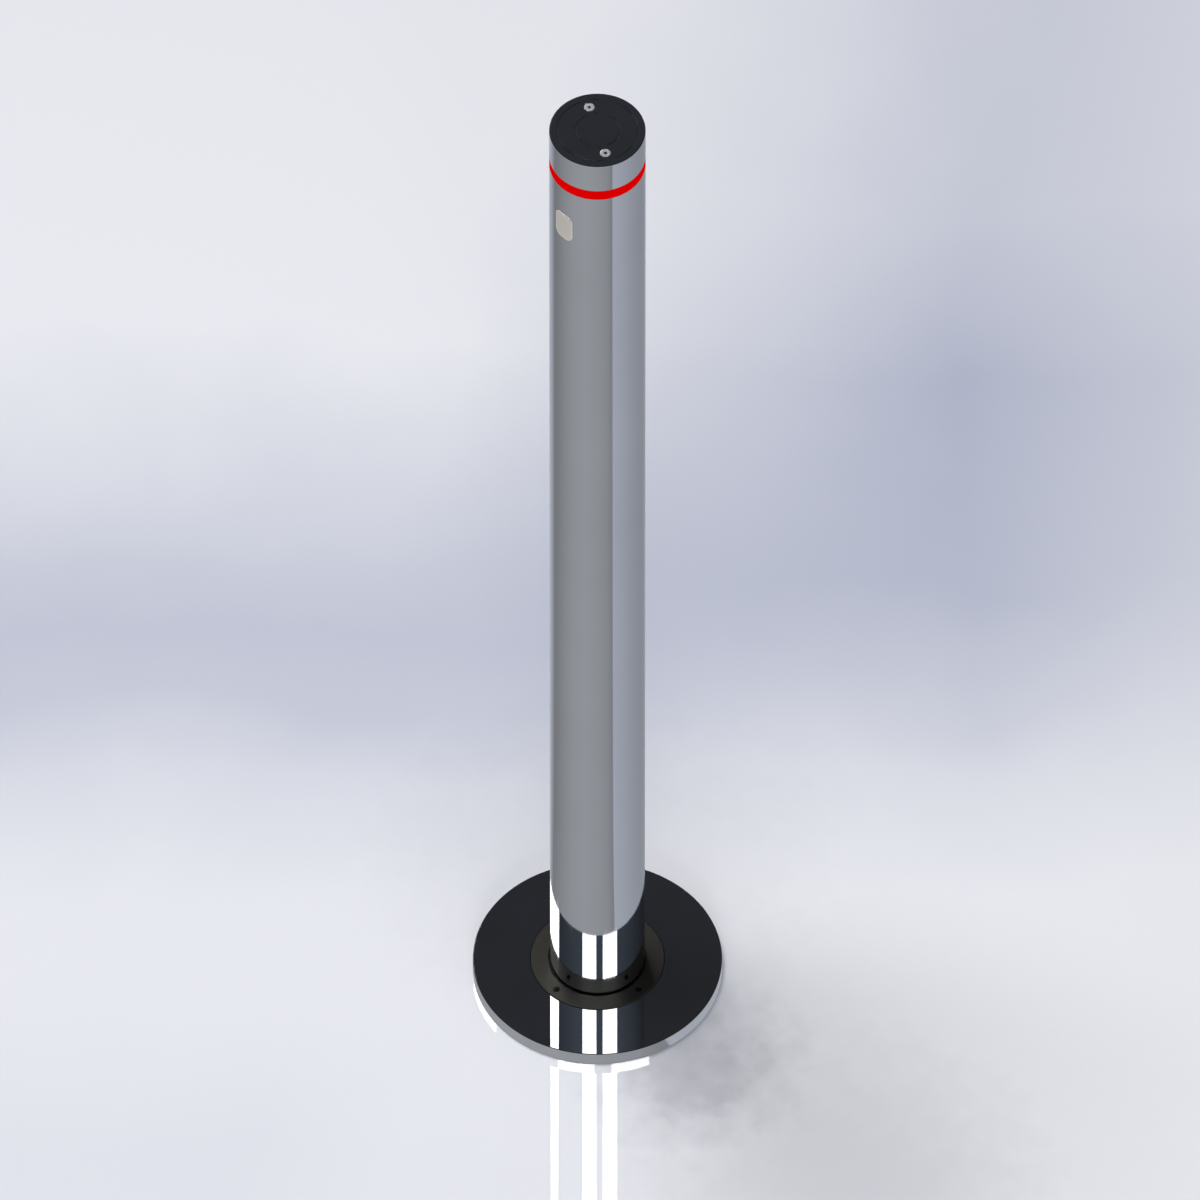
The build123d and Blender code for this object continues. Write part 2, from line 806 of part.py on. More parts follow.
with BuildPart() as bearing_balls:
    with Locations(*[plane.location for plane in ball_planes]):
        Sphere(ball_radius)
keep("bearing_balls", bearing_balls.part)

# Bearing cap that keeps the outer ring down, and the locknut under the inner ring
with BuildPart() as bearing_cap:
    add(
        tube(
            bearing_cap_radius,
            bearing_cap_bore_radius,
            drive_plate_top,
            drive_plate_top + bearing_cap_thickness,
        )
    )
    add(sunk_hole(M4, bearing_cap_places, bearing_cap_thickness), mode=Mode.SUBTRACT)
keep("bearing_cap", bearing_cap.part)
keep("bearing_cap_screws", sunk_screws(M4, bearing_cap_places, bearing_cap_screw_length))

locknut = tube(inner_land_radius, journal_radius + thread_gap, locknut_foot, bearing_foot)
keep("screw_locknut", locknut)

# Lifting screw: its thread is left plain here, with a stub on top and a stepped shaft below
lifting_screw = turned(
    (0, claw_top),
    (shaft_radius, claw_top),
    (shaft_radius, locknut_foot),
    (journal_radius, locknut_foot),
    (journal_radius, drive_plate_top),
    (screw_radius, drive_plate_top),
    (screw_radius, steady_foot),
    (stub_radius, steady_foot),
    (stub_radius, steady_top),
    (stub_radius - clip_groove_depth, steady_top),
    (stub_radius - clip_groove_depth, steady_top + clip_thickness),
    (stub_radius, steady_top + clip_thickness),
    (stub_radius, steady_top + 2 * clip_thickness),
    (0, steady_top + 2 * clip_thickness),
)
keep("lifting_screw", lifting_screw)

# Screw steady: a plastic wheel that centres the screw's free end in the post, held by a clip
steady_rim = (post_bore_radius + stub_radius) / 2
steady_hole_places = upright(steady_rim, steady_top, steady_hole_count, 0)
with BuildPart() as screw_steady:
    add(
        tube(
            post_bore_radius - sliding_gap, stub_radius + thread_gap, steady_foot, steady_top
        )
    )
    chamfer(
        screw_steady.edges().filter_by(GeomType.CIRCLE).sort_by(SortBy.RADIUS)[-2:],
        length=rod_chamfer,
    )
    add(
        round_hole(steady_hole_radius, steady_hole_places, steady_height),
        mode=Mode.SUBTRACT,
    )
keep("screw_steady", screw_steady.part)

clip_inner_radius = stub_radius - clip_groove_depth
clip_outer_radius = clip_inner_radius + clip_width
with BuildPart() as steady_clip:
    add(
        tube(
            clip_outer_radius, clip_inner_radius, steady_top, steady_top + clip_thickness
        )
    )
    with BuildSketch(Plane.XY.offset(steady_top)):
        with Locations((0, clip_outer_radius / 2)):
            Rectangle(clip_inner_radius, clip_outer_radius)
    extrude(amount=clip_thickness, mode=Mode.SUBTRACT)
keep("steady_clip", steady_clip.part)

# Jaw coupling: two hubs with three claws each, and a rubber spider between the claws
with BuildPart() as screw_hub:
    add(tube(coupling_radius, shaft_radius + thread_gap, claw_top, claw_top + hub_length))
    add(
        claws(
            claw_foot, claw_length, claw_inner_radius, coupling_radius, claw_count, claw_angle, 0
        )
    )
keep("screw_coupling_hub", screw_hub.part)

with BuildPart() as motor_hub:
    add(tube(coupling_radius, shaft_radius + thread_gap, claw_foot - hub_length, claw_foot))
    add(
        claws(
            claw_foot,
            claw_length,
            claw_inner_radius,
            coupling_radius,
            claw_count,
            claw_angle,
            180 / claw_count,
        )
    )
keep("motor_coupling_hub", motor_hub.part)

with BuildPart() as coupling_spider:
    add(
        claws(
            claw_foot,
            claw_length,
            claw_inner_radius - thread_gap,
            coupling_radius,
            2 * claw_count,
            180 / claw_count - claw_angle,
            90 / claw_count,
        )
    )
    with BuildSketch(Plane.XY.offset(claw_foot)):
        Circle(claw_inner_radius - thread_gap)
        Circle(shaft_radius, mode=Mode.SUBTRACT)
    extrude(amount=claw_length)
keep("coupling_spider", coupling_spider.part)

# Drive lantern: the spacer round the coupling, with windows to reach it
drive_screw_places = upright(
    drive_screw_radius, gearbox_flange_foot, drive_screw_count, drive_screw_angle
)
drive_hole_places = upright(
    drive_screw_radius, drive_plate_foot, drive_screw_count, drive_screw_angle
)
drive_hole_depth = drive_plate_foot - gearbox_flange_foot
lantern_middle = (drive_plate_foot + lantern_foot) / 2
window_places = outward(lantern_bore_radius, lantern_middle, drive_screw_count, 0)
drive_holes = round_hole(M5[0] + fit_gap, drive_hole_places, drive_hole_depth)
with BuildPart() as drive_lantern:
    add(tube(lantern_radius, lantern_bore_radius, lantern_foot, drive_plate_foot))
    add(drive_holes, mode=Mode.SUBTRACT)
    with BuildSketch(*window_places):
        RectangleRounded(lantern_window_width, lantern_window_height, lantern_window_corner)
    extrude(amount=lantern_wall, both=True, mode=Mode.SUBTRACT)
keep("drive_lantern", drive_lantern.part)
keep("drive_screws", hanging_screws(M5, drive_screw_places, drive_hole_depth + drive_screw_bite))

# Gearbox: a flanged housing with two grooves where its ring gears are joined
upper_joint = gearbox_flange_foot - gearbox_stage
lower_joint = gearbox_foot + gearbox_stage
joint_radius = gearbox_radius - gearbox_groove_depth
with BuildPart() as gearbox:
    add(
        turned(
            (shaft_radius + sliding_gap, lantern_foot),
            (lantern_radius, lantern_foot),
            (lantern_radius, gearbox_flange_foot),
            (gearbox_radius, gearbox_flange_foot),
            (gearbox_radius, upper_joint),
            (joint_radius, upper_joint),
            (joint_radius, upper_joint - gearbox_groove_depth),
            (gearbox_radius, upper_joint - gearbox_groove_depth),
            (gearbox_radius, lower_joint),
            (joint_radius, lower_joint),
            (joint_radius, lower_joint - gearbox_groove_depth),
            (gearbox_radius, lower_joint - gearbox_groove_depth),
            (gearbox_radius, gearbox_foot),
            (0, gearbox_foot),
            (0, lantern_foot - shaft_seat_depth - sliding_gap),
            (shaft_radius + sliding_gap, lantern_foot - shaft_seat_depth - sliding_gap),
        )
    )
    add(drive_holes, mode=Mode.SUBTRACT)
keep("gearbox", gearbox.part)

gearbox_shaft = turned(
    (0, lantern_foot - shaft_seat_depth),
    (shaft_radius, lantern_foot - shaft_seat_depth),
    (shaft_radius, claw_foot),
    (0, claw_foot),
)
keep("gearbox_shaft", gearbox_shaft)

# Motor with its two end bells, and the holding brake below it
motor_radius = motor_diameter / 2
band_radius = motor_radius - motor_band_depth
drive_motor = turned(
    (0, gearbox_foot),
    (motor_radius, gearbox_foot),
    (motor_radius, gearbox_foot - motor_bell_length),
    (band_radius, gearbox_foot - motor_bell_length),
    (band_radius, motor_foot + motor_bell_length),
    (motor_radius, motor_foot + motor_bell_length),
    (motor_radius, motor_foot),
    (0, motor_foot),
)
keep("drive_motor", drive_motor)

brake_radius = brake_diameter / 2
motor_brake = turned(
    (0, motor_foot),
    (brake_radius, motor_foot),
    (brake_radius, brake_foot + brake_step),
    (brake_radius - brake_step, brake_foot),
    (0, brake_foot),
)
keep("motor_brake", motor_brake)

# Post tube, with the window's cut-out and the holes of the carriage's screws
window_cut = Plane(origin=(0, 0, window_level), x_dir=(1, 0, 0), z_dir=(0, -1, 0))
carriage_screw_level = (post_foot + spigot_top) / 2
carriage_screw_places = outward(
    post_radius, carriage_screw_level, carriage_screw_count, carriage_screw_angle
)
with BuildPart() as post_tube:
    add(tube(post_radius, post_bore_radius, post_foot, tube_top))
    with BuildSketch(window_cut):
        RectangleRounded(
            window_width + 2 * fit_gap, window_height + 2 * fit_gap, window_corner + fit_gap
        )
    extrude(amount=post_radius, mode=Mode.SUBTRACT)
    add(sunk_hole(M5, carriage_screw_places, carriage_screw_length), mode=Mode.SUBTRACT)
keep("post_tube", post_tube.part)

# Reader window: a curved pane in the cut-out, with a lip behind the tube's wall
lip_bore_radius = post_bore_radius - window_lip_thickness
with BuildPart() as reader_window:
    with BuildSketch(Plane.XY.offset(window_level - window_height)):
        Circle(post_radius + window_proud)
        Circle(lip_bore_radius, mode=Mode.SUBTRACT)
    extrude(amount=2 * window_height)
    with BuildSketch(window_cut):
        RectangleRounded(window_width, window_height, window_corner)
    extrude(amount=2 * post_radius, mode=Mode.INTERSECT)
    chamfer(
        reader_window.faces().sort_by(Axis.Y)[0].edges(),
        length=window_proud,
    )
with BuildPart() as window_lip_ring:
    with BuildSketch(Plane.XY.offset(window_level - window_height)):
        Circle(spigot_radius)
        Circle(lip_bore_radius, mode=Mode.SUBTRACT)
    extrude(amount=2 * window_height)
    with BuildSketch(window_cut):
        RectangleRounded(
            window_width + 2 * window_lip,
            window_height + 2 * window_lip,
            window_corner + window_lip,
        )
    extrude(amount=2 * post_radius, mode=Mode.INTERSECT)
with reader_window:
    add(window_lip_ring.part)
keep("reader_window", reader_window.part)

# Reader behind the window: a tray on a bent bracket under the head core, and its board
reader_face = sqrt(lip_bore_radius**2 - (reader_width / 2) ** 2) - sliding_gap
reader_back = reader_face - reader_depth
reader_floor = reader_back + reader_wall
board_back = reader_floor + reader_post
board_width = reader_width - 2 * reader_wall - 2 * fit_gap
board_height = reader_height - 2 * reader_wall - 2 * fit_gap
with BuildPart() as reader_housing:
    with BuildSketch(window_cut.offset(reader_back)):
        RectangleRounded(reader_width, reader_height, reader_corner)
    extrude(amount=reader_depth)
    with BuildSketch(window_cut.offset(reader_floor)):
        RectangleRounded(
            reader_width - 2 * reader_wall,
            reader_height - 2 * reader_wall,
            reader_corner - reader_wall,
        )
    extrude(amount=reader_depth, mode=Mode.SUBTRACT)
    with BuildSketch(window_cut.offset(reader_floor)):
        with GridLocations(board_width - reader_post, board_height - reader_post, 2, 2):
            Circle(reader_post / 2)
    extrude(amount=reader_post)
keep("reader_housing", reader_housing.part)

with BuildPart() as reader_board:
    with BuildSketch(window_cut.offset(board_back)):
        RectangleRounded(board_width, board_height, reader_corner - reader_wall)
    extrude(amount=board_thickness)
    with BuildSketch(window_cut.offset(board_back + board_thickness)):
        with GridLocations(0, board_height / 2, 1, 2):
            Rectangle(chip_side, chip_side)
    extrude(amount=chip_height)
keep("reader_board", reader_board.part)

reader_foot = window_level - reader_height / 2
bracket_back = reader_back - bracket_thickness
bracket_end = bracket_back - bracket_foot
foot_screw_places = [
    Plane(
        origin=(x, -(bracket_back + bracket_end) / 2, core_foot - bracket_thickness),
    )
    for x in (-bracket_screw_spacing / 2, bracket_screw_spacing / 2)
]
with BuildPart() as reader_bracket:
    with BuildSketch(Plane.YZ):
        with BuildLine():
            Polyline(
                (-reader_back, reader_foot),
                (-reader_back, core_foot),
                (-bracket_end, core_foot),
                (-bracket_end, core_foot - bracket_thickness),
                (-bracket_back, core_foot - bracket_thickness),
                (-bracket_back, reader_foot),
                close=True,
            )
        make_face()
    extrude(amount=reader_width / 2, both=True)
    for place in foot_screw_places:
        add(
            round_hole(M3[0] + fit_gap, [place.offset(bracket_thickness)], bracket_thickness),
            mode=Mode.SUBTRACT,
        )
keep("reader_bracket", reader_bracket.part)
keep("reader_screws", hanging_screws(M3, foot_screw_places, bracket_screw_length))

# Head core: a turned spigot that joins the tube, the light ring and the sleeve
core_bore_radius = core_bore / 2
cap_screw_places = upright(cap_screw_radius, cap_top, cap_screw_count, cap_screw_angle)
wire_hole_place = outward(core_waist_radius, (tube_top + ring_top) / 2, 1, 0)
with BuildPart() as head_core:
    add(
        turned(
            (core_bore_radius, core_foot),
            (spigot_radius, core_foot),
            (spigot_radius, tube_top),
            (core_waist_radius, tube_top),
            (core_waist_radius, ring_top),
            (spigot_radius, ring_top),
            (spigot_radius, core_top),
            (core_bore_radius, core_top),
        )
    )
    add(round_hole(M4[0], cap_screw_places, cap_screw_length), mode=Mode.SUBTRACT)
    add(round_hole(wire_hole_diameter / 2, wire_hole_place, core_waist_radius), mode=Mode.SUBTRACT)
    for place in foot_screw_places:
        add(
            round_hole(M3[0], [place.offset(bracket_screw_length)], bracket_screw_length),
            mode=Mode.SUBTRACT,
        )
keep("head_core", head_core.part)

# Light strip round the waist: a bent board with its lamps facing the light ring
strip_bore_radius = core_waist_radius + fit_gap
strip_radius = strip_bore_radius + led_strip_thickness
led_places = outward(
    strip_radius + led_proud - led_height, (tube_top + ring_top) / 2, led_count, 180 / led_count
)
with BuildPart() as light_strip:
    add(
        tube(
            strip_radius, strip_bore_radius, tube_top + led_strip_margin, ring_top - led_strip_margin
        )
    )
    with BuildSketch(*led_places):
        Rectangle(led_side, led_side)
    extrude(amount=led_height)
keep("light_strip", light_strip.part)

# Light ring, head sleeve and the cap that closes the post
keep(
    "light_ring",
    tube(post_radius, post_radius - light_ring_wall, tube_top, ring_top),
)
keep("head_sleeve", tube(post_radius, post_bore_radius, ring_top, sleeve_top))

seal_ring_radius = seal_ring_thickness / 2
seal_groove_radius = spigot_radius - seal_ring_thickness
seal_groove_level = (core_top + sleeve_top) / 2
with BuildPart() as top_cap:
    add(
        turned(
            (0, core_top),
            (spigot_radius, core_top),
            (spigot_radius, seal_groove_level - seal_ring_radius),
            (seal_groove_radius, seal_groove_level - seal_ring_radius),
            (seal_groove_radius, seal_groove_level + seal_ring_radius),
            (spigot_radius, seal_groove_level + seal_ring_radius),
            (spigot_radius, sleeve_top),
            (post_radius, sleeve_top),
            (post_radius, cap_top - edge_chamfer),
            (post_radius - edge_chamfer, cap_top),
            (0, cap_top),
        )
    )
    for groove_radius in (cap_inner_groove_radius, cap_outer_groove_radius):
        with BuildSketch(Plane.XY.offset(cap_top)):
            Circle(groove_radius + cap_groove_width / 2)
            Circle(groove_radius - cap_groove_width / 2, mode=Mode.SUBTRACT)
        extrude(amount=-cap_groove_depth, mode=Mode.SUBTRACT)
    add(sunk_hole(M4, cap_screw_places, cap_screw_length), mode=Mode.SUBTRACT)
keep("top_cap", top_cap.part)
keep("cap_screws", sunk_screws(M4, cap_screw_places, cap_screw_length))

with BuildPart() as cap_seal:
    with BuildSketch(Plane.XZ):
        with Locations((seal_groove_radius + seal_ring_radius, seal_groove_level)):
            Circle(seal_ring_radius - thread_gap)
    revolve(axis=Axis.Z)
keep("cap_seal", cap_seal.part)

# Carriage at the post's foot: it runs on the rods and carries the lifting nut
nut_screw_places = upright(
    nut_screw_radius, carriage_foot - nut_flange_thickness, nut_screw_count, nut_screw_angle
)
nut_hole_places = upright(nut_screw_radius, carriage_foot, nut_screw_count, nut_screw_angle)
nut_tap_depth = nut_screw_length - nut_flange_thickness
nut_tap_places = upright(
    nut_screw_radius, carriage_foot + nut_tap_depth, nut_screw_count, nut_screw_angle
)
bush_places = upright(rod_place_radius, post_foot, rod_count, rod_angle)
with BuildPart() as carriage:
    add(
        turned(
            (nut_radius + fit_gap, carriage_foot),
            (carriage_radius, carriage_foot),
            (carriage_radius, post_foot),
            (spigot_radius, post_foot),
            (spigot_radius, spigot_top),
            (nut_radius + fit_gap, spigot_top),
        )
    )
    add(round_hole(rod_bush_radius, bush_places, carriage_thickness), mode=Mode.SUBTRACT)
    add(round_hole(M5[0], nut_tap_places, nut_tap_depth), mode=Mode.SUBTRACT)
    add(round_hole(M5[0], carriage_screw_places, carriage_screw_length), mode=Mode.SUBTRACT)
keep("carriage", carriage.part)
keep("carriage_screws", sunk_screws(M5, carriage_screw_places, carriage_screw_length))

rod_bush = turned(
    (rod_radius + sliding_gap, post_foot),
    (rod_bush_radius - thread_gap, post_foot),
    (rod_bush_radius - thread_gap, carriage_foot),
    (rod_bush_radius + rod_bush_flange, carriage_foot),
    (rod_bush_radius + rod_bush_flange, carriage_foot - rod_bush_flange_thickness),
    (rod_radius + sliding_gap, carriage_foot - rod_bush_flange_thickness),
)
keep("rod_bushes", at_rods(rod_bush))

nut_foot = carriage_foot - nut_flange_thickness
with BuildPart() as lifting_nut:
    add(
        turned(
            (screw_radius + sliding_gap, nut_foot),
            (nut_flange_radius, nut_foot),
            (nut_flange_radius, carriage_foot),
            (nut_radius, carriage_foot),
            (nut_radius, nut_foot + nut_length),
            (screw_radius + sliding_gap, nut_foot + nut_length),
        )
    )
    add(
        round_hole(M5[0] + fit_gap, nut_hole_places, nut_flange_thickness),
        mode=Mode.SUBTRACT,
    )
keep("lifting_nut", lifting_nut.part)
keep("nut_screws", hanging_screws(M5, nut_screw_places, nut_screw_length))
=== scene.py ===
import json
from math import atan2, cos, degrees, pi, radians, sin, tan

import bmesh
import bpy
from mathutils import Matrix, Vector


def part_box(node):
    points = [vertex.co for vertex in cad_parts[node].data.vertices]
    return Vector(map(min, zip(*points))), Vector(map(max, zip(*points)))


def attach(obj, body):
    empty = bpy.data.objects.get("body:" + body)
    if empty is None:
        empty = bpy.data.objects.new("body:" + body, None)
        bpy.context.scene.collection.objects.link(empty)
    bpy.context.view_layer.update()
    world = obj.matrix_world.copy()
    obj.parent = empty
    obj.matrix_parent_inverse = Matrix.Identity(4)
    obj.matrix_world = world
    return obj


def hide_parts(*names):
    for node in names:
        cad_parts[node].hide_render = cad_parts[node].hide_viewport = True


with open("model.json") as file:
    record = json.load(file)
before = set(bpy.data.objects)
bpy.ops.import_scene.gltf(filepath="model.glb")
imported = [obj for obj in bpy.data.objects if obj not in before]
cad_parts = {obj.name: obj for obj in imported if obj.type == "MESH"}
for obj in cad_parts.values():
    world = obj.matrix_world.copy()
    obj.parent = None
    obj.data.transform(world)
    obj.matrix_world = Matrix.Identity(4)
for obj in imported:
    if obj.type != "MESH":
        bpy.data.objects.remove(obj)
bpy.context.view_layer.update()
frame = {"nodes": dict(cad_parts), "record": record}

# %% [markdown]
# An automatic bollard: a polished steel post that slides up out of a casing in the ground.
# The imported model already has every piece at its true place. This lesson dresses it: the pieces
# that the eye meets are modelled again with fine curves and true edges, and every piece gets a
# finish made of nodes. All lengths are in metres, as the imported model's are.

MM = 0.001

# %% [markdown]
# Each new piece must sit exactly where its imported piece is, so its sizes are read from the packed
# piece's box. What no box tells, such as the width of a groove, is named here, and it repeats the
# real size in the part's own source.

# %% Sizes of the disc, the collar and the seal
disc_radius = 0.1
disc_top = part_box("base_disc")[1].z
collar_low, collar_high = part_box("collar_ring")
collar_radius = collar_high.x
collar_width = 14 * MM
collar_bore = collar_radius - collar_width
collar_screw_circle = (collar_radius + collar_bore) / 2
seal_low, seal_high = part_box("wiper_seal")
print("disc", disc_radius, "collar", round(collar_bore, 5), "to", round(collar_radius, 5))

# %% Sizes of the post and its head
post_radius = 38.05 * MM
post_bore = 35.05 * MM
tube_low, tube_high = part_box("post_tube")
ring_low, ring_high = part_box("light_ring")
sleeve_low, sleeve_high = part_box("head_sleeve")
cap_low, cap_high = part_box("top_cap")
window_low, window_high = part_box("reader_window")
window_level = (window_low.z + window_high.z) / 2
window_width, window_height, window_corner = 18 * MM, 28.8 * MM, 6 * MM
groove_middles = (31.8 * MM, 17.3 * MM)
print("post", round(tube_high.z - tube_low.z, 4), "long, cap at", round(cap_high.z, 4))

# %% [markdown]
# A turned part is a flat outline that is spun once round the axis. The outline is a chain of
# vertices and edges, its corners are rounded with a bevel that works on vertices, and bmesh's spin
# does the rest. The last copy is merged with the first, and points on the axis are merged too.

# %% Outlines and spinning
ROUND = 192
SAME_PLACE, MERGE = 0.01 * MM, 0.001 * MM


def outline(*points):
    """A closed flat outline in the plane y = 0, from (radius, height) points."""
    shape = bmesh.new()
    corners = [shape.verts.new((radius, 0, height)) for radius, height in points]
    for index, corner in enumerate(corners):
        following = corners[(index + 1) % len(corners)]
        if corner.co.x or following.co.x:
            shape.edges.new((corner, following))
    return shape


def ring_section(inner, outer, low, high):
    """The outline of a plain ring."""
    return outline((inner, low), (outer, low), (outer, high), (inner, high))


def bevel(shape, chosen, size, segments, affect):
    """Rounds some edges or vertices of a shape."""
    bmesh.ops.bevel(
        shape, geom=chosen, offset=size, offset_type="OFFSET", segments=segments, profile=0.5,
        affect=affect, clamp_overlap=True, material=-1,
    )


def ease(shape, size, *corners, segments=3):
    """Rounds some corners of an outline, named by their (radius, height)."""
    chosen = [
        vert
        for vert in shape.verts
        if any((vert.co - Vector((r, 0, z))).length < SAME_PLACE for r, z in corners)
    ]
    bevel(shape, chosen, size, segments, "VERTICES")
    return shape


def spun(shape, steps=ROUND):
    """Spins an outline once round the Z axis into a closed solid."""
    bmesh.ops.spin(
        shape, geom=shape.verts[:] + shape.edges[:], cent=(0, 0, 0), axis=(0, 0, 1),
        angle=2 * pi, steps=steps, use_merge=True, use_duplicate=False,
    )
    bmesh.ops.remove_doubles(shape, verts=shape.verts, dist=MERGE)
    bmesh.ops.recalc_face_normals(shape, faces=shape.faces)
    return shape


# %% [markdown]
# Holes and sockets are cut with the exact boolean modifier, which is applied at once. The cutter
# is a bmesh too: a countersunk hole is a turned outline, and a socket is a six-sided prism.

# %% Cutting one shape out of another
def shown(shape, name):
    """A temporary object that holds a bmesh."""
    data = bpy.data.meshes.new(name)
    shape.to_mesh(data)
    shape.free()
    thing = bpy.data.objects.new(name, data)
    bpy.context.scene.collection.objects.link(thing)
    return thing


def cut(shape, cutter, operation="DIFFERENCE"):
    """The first bmesh with the second taken away, as a new bmesh."""
    blank, tool = shown(shape, "blank"), shown(cutter, "tool")
    boolean = blank.modifiers.new("cut", "BOOLEAN")
    boolean.operation = operation
    boolean.solver = "EXACT"
    boolean.object = tool
    graph = bpy.context.evaluated_depsgraph_get()
    carved = bpy.data.meshes.new_from_object(blank.evaluated_get(graph))
    result = bmesh.new()
    result.from_mesh(carved)
    for thing in (blank, tool):
        data = thing.data
        bpy.data.objects.remove(thing)
        bpy.data.meshes.remove(data)
    bpy.data.meshes.remove(carved)
    return result


# %% [markdown]
# A cylinder is a cone with two equal radii, and with six sides it is a socket. The helper places
# it by its foot, which is easier to think in than its middle, and can stand it on any plane.
# Screws and holes then go to places at equal angles on a circle round the axis.

# %% Cylinders, sockets and circles of places
def cylinder(radius, foot, top, place=Matrix(), sides=48):
    """A closed cylinder or prism between two heights."""
    shape = bmesh.new()
    middle = Matrix.Translation((0, 0, (foot + top) / 2))
    bmesh.ops.create_cone(
        shape, cap_ends=True, segments=sides, radius1=radius, radius2=radius,
        depth=top - foot, matrix=place @ middle,
    )
    return shape


def equal_angles(count, start):
    """Equal steps round a circle, in radians, from a start in degrees."""
    return [radians(start + 360 * i / count) for i in range(count)]


def ring_places(radius, height, count, start):
    """Matrices that stand on a circle round the axis, the first at the start angle."""
    return [
        Matrix.Translation((radius * cos(angle), radius * sin(angle), height))
        for angle in equal_angles(count, start)
    ]


# %% [markdown]
# Every finished piece takes the same last steps. Faces are smooth, and edges that turn by more
# than 30 degrees stay sharp. The piece rides on its body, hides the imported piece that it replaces
# and takes that piece's finish. A Weighted Normal modifier keeps large flats flat beside small
# rounded edges.

# %% Finishing a piece
SHARP = radians(30)


def finished(shape, name, body, nodes, slot):
    """Makes a bmesh into a piece of the object."""
    for face in shape.faces:
        face.smooth = True
    for edge in shape.edges:
        edge.smooth = len(edge.link_faces) == 2 and edge.calc_face_angle() < SHARP
    data = bpy.data.meshes.new(name)
    shape.to_mesh(data)
    shape.free()
    piece = bpy.data.objects.new(name, data)
    bpy.context.scene.collection.objects.link(piece)
    flats = piece.modifiers.new("flats", "WEIGHTED_NORMAL")
    flats.keep_sharp = True
    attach(piece, body)
    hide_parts(*nodes)
    data.materials.append(finishes[slot])
    print(name, len(data.polygons), "faces, replaces", ", ".join(nodes))
    return piece


# %% [markdown]
# The camera stands far away with a very long lens, because the photograph shows the post as wide
# at its foot as at its top. It looks down by 50 degrees from the side between the window and the
# right-hand side of the disc.

# %% Camera
view_azimuth, view_elevation = radians(45), radians(50.1)
picture_width, aim_height, aim_right = 0.9551, 0.46, 2.06 * MM
towards_camera = Vector((
    sin(view_azimuth) * cos(view_elevation),
    -cos(view_azimuth) * cos(view_elevation),
    sin(view_elevation),
))
to_the_right = Vector((cos(view_azimuth), sin(view_azimuth), 0))
to_the_back = Vector((-to_the_right.y, to_the_right.x, 0))
upward = Vector((0, 0, 1))
lens = bpy.data.cameras.new("long lens")
lens.lens = 1600
lens.sensor_width = 36
distance = picture_width * lens.lens / lens.sensor_width
lens.clip_start, lens.clip_end = 1, 2 * distance
camera = bpy.data.objects.new("camera", lens)
camera.rotation_mode = "QUATERNION"
camera.location = Vector((0, 0, aim_height)) + aim_right * to_the_right + distance * towards_camera
camera.rotation_quaternion = (-towards_camera).to_track_quat("-Z", "Y")
bpy.context.scene.collection.objects.link(camera)
bpy.context.scene.camera = camera
print("camera", round(distance, 2), "m away")

# %% [markdown]
# Finishes are node trees, and their maths reads best as maths. This small class wraps the output
# of a node, so that grain * 0.3 + 0.1 adds the two Math nodes by itself.

# %% Signals: shader values that Python can add and multiply
class Signal:
    """A value that runs through a finish."""

    def __init__(self, finish, socket):
        self.finish, self.socket = finish, socket

    def maths(self, operation, *values):
        return self.finish.node("Math", {"operation": operation}, dict(enumerate(values)))

    def other(self, output):
        """Another output of the same node."""
        return Signal(self.finish, self.socket.node.outputs[output])

    def __add__(self, other):
        return self.maths("ADD", self, other)

    def __sub__(self, other):
        return self.maths("SUBTRACT", self, other)

    def __rsub__(self, other):
        return self.maths("SUBTRACT", other, self)

    def __mul__(self, other):
        return self.maths("MULTIPLY", self, other)

    def __pow__(self, other):
        return self.maths("POWER", self, other)

    def __abs__(self):
        return self.maths("ABSOLUTE", self)

    def __gt__(self, other):
        return self.maths("GREATER_THAN", self, other)

    def __lt__(self, other):
        return self.maths("LESS_THAN", self, other)

    __radd__, __rmul__ = __add__, __mul__


# %% [markdown]
# A finish owns one node tree: a material's, a lamp's or the world's. Its node method is the only
# way in which nodes are made: it takes the node's type, its settings, and then the values or
# signals for its sockets.

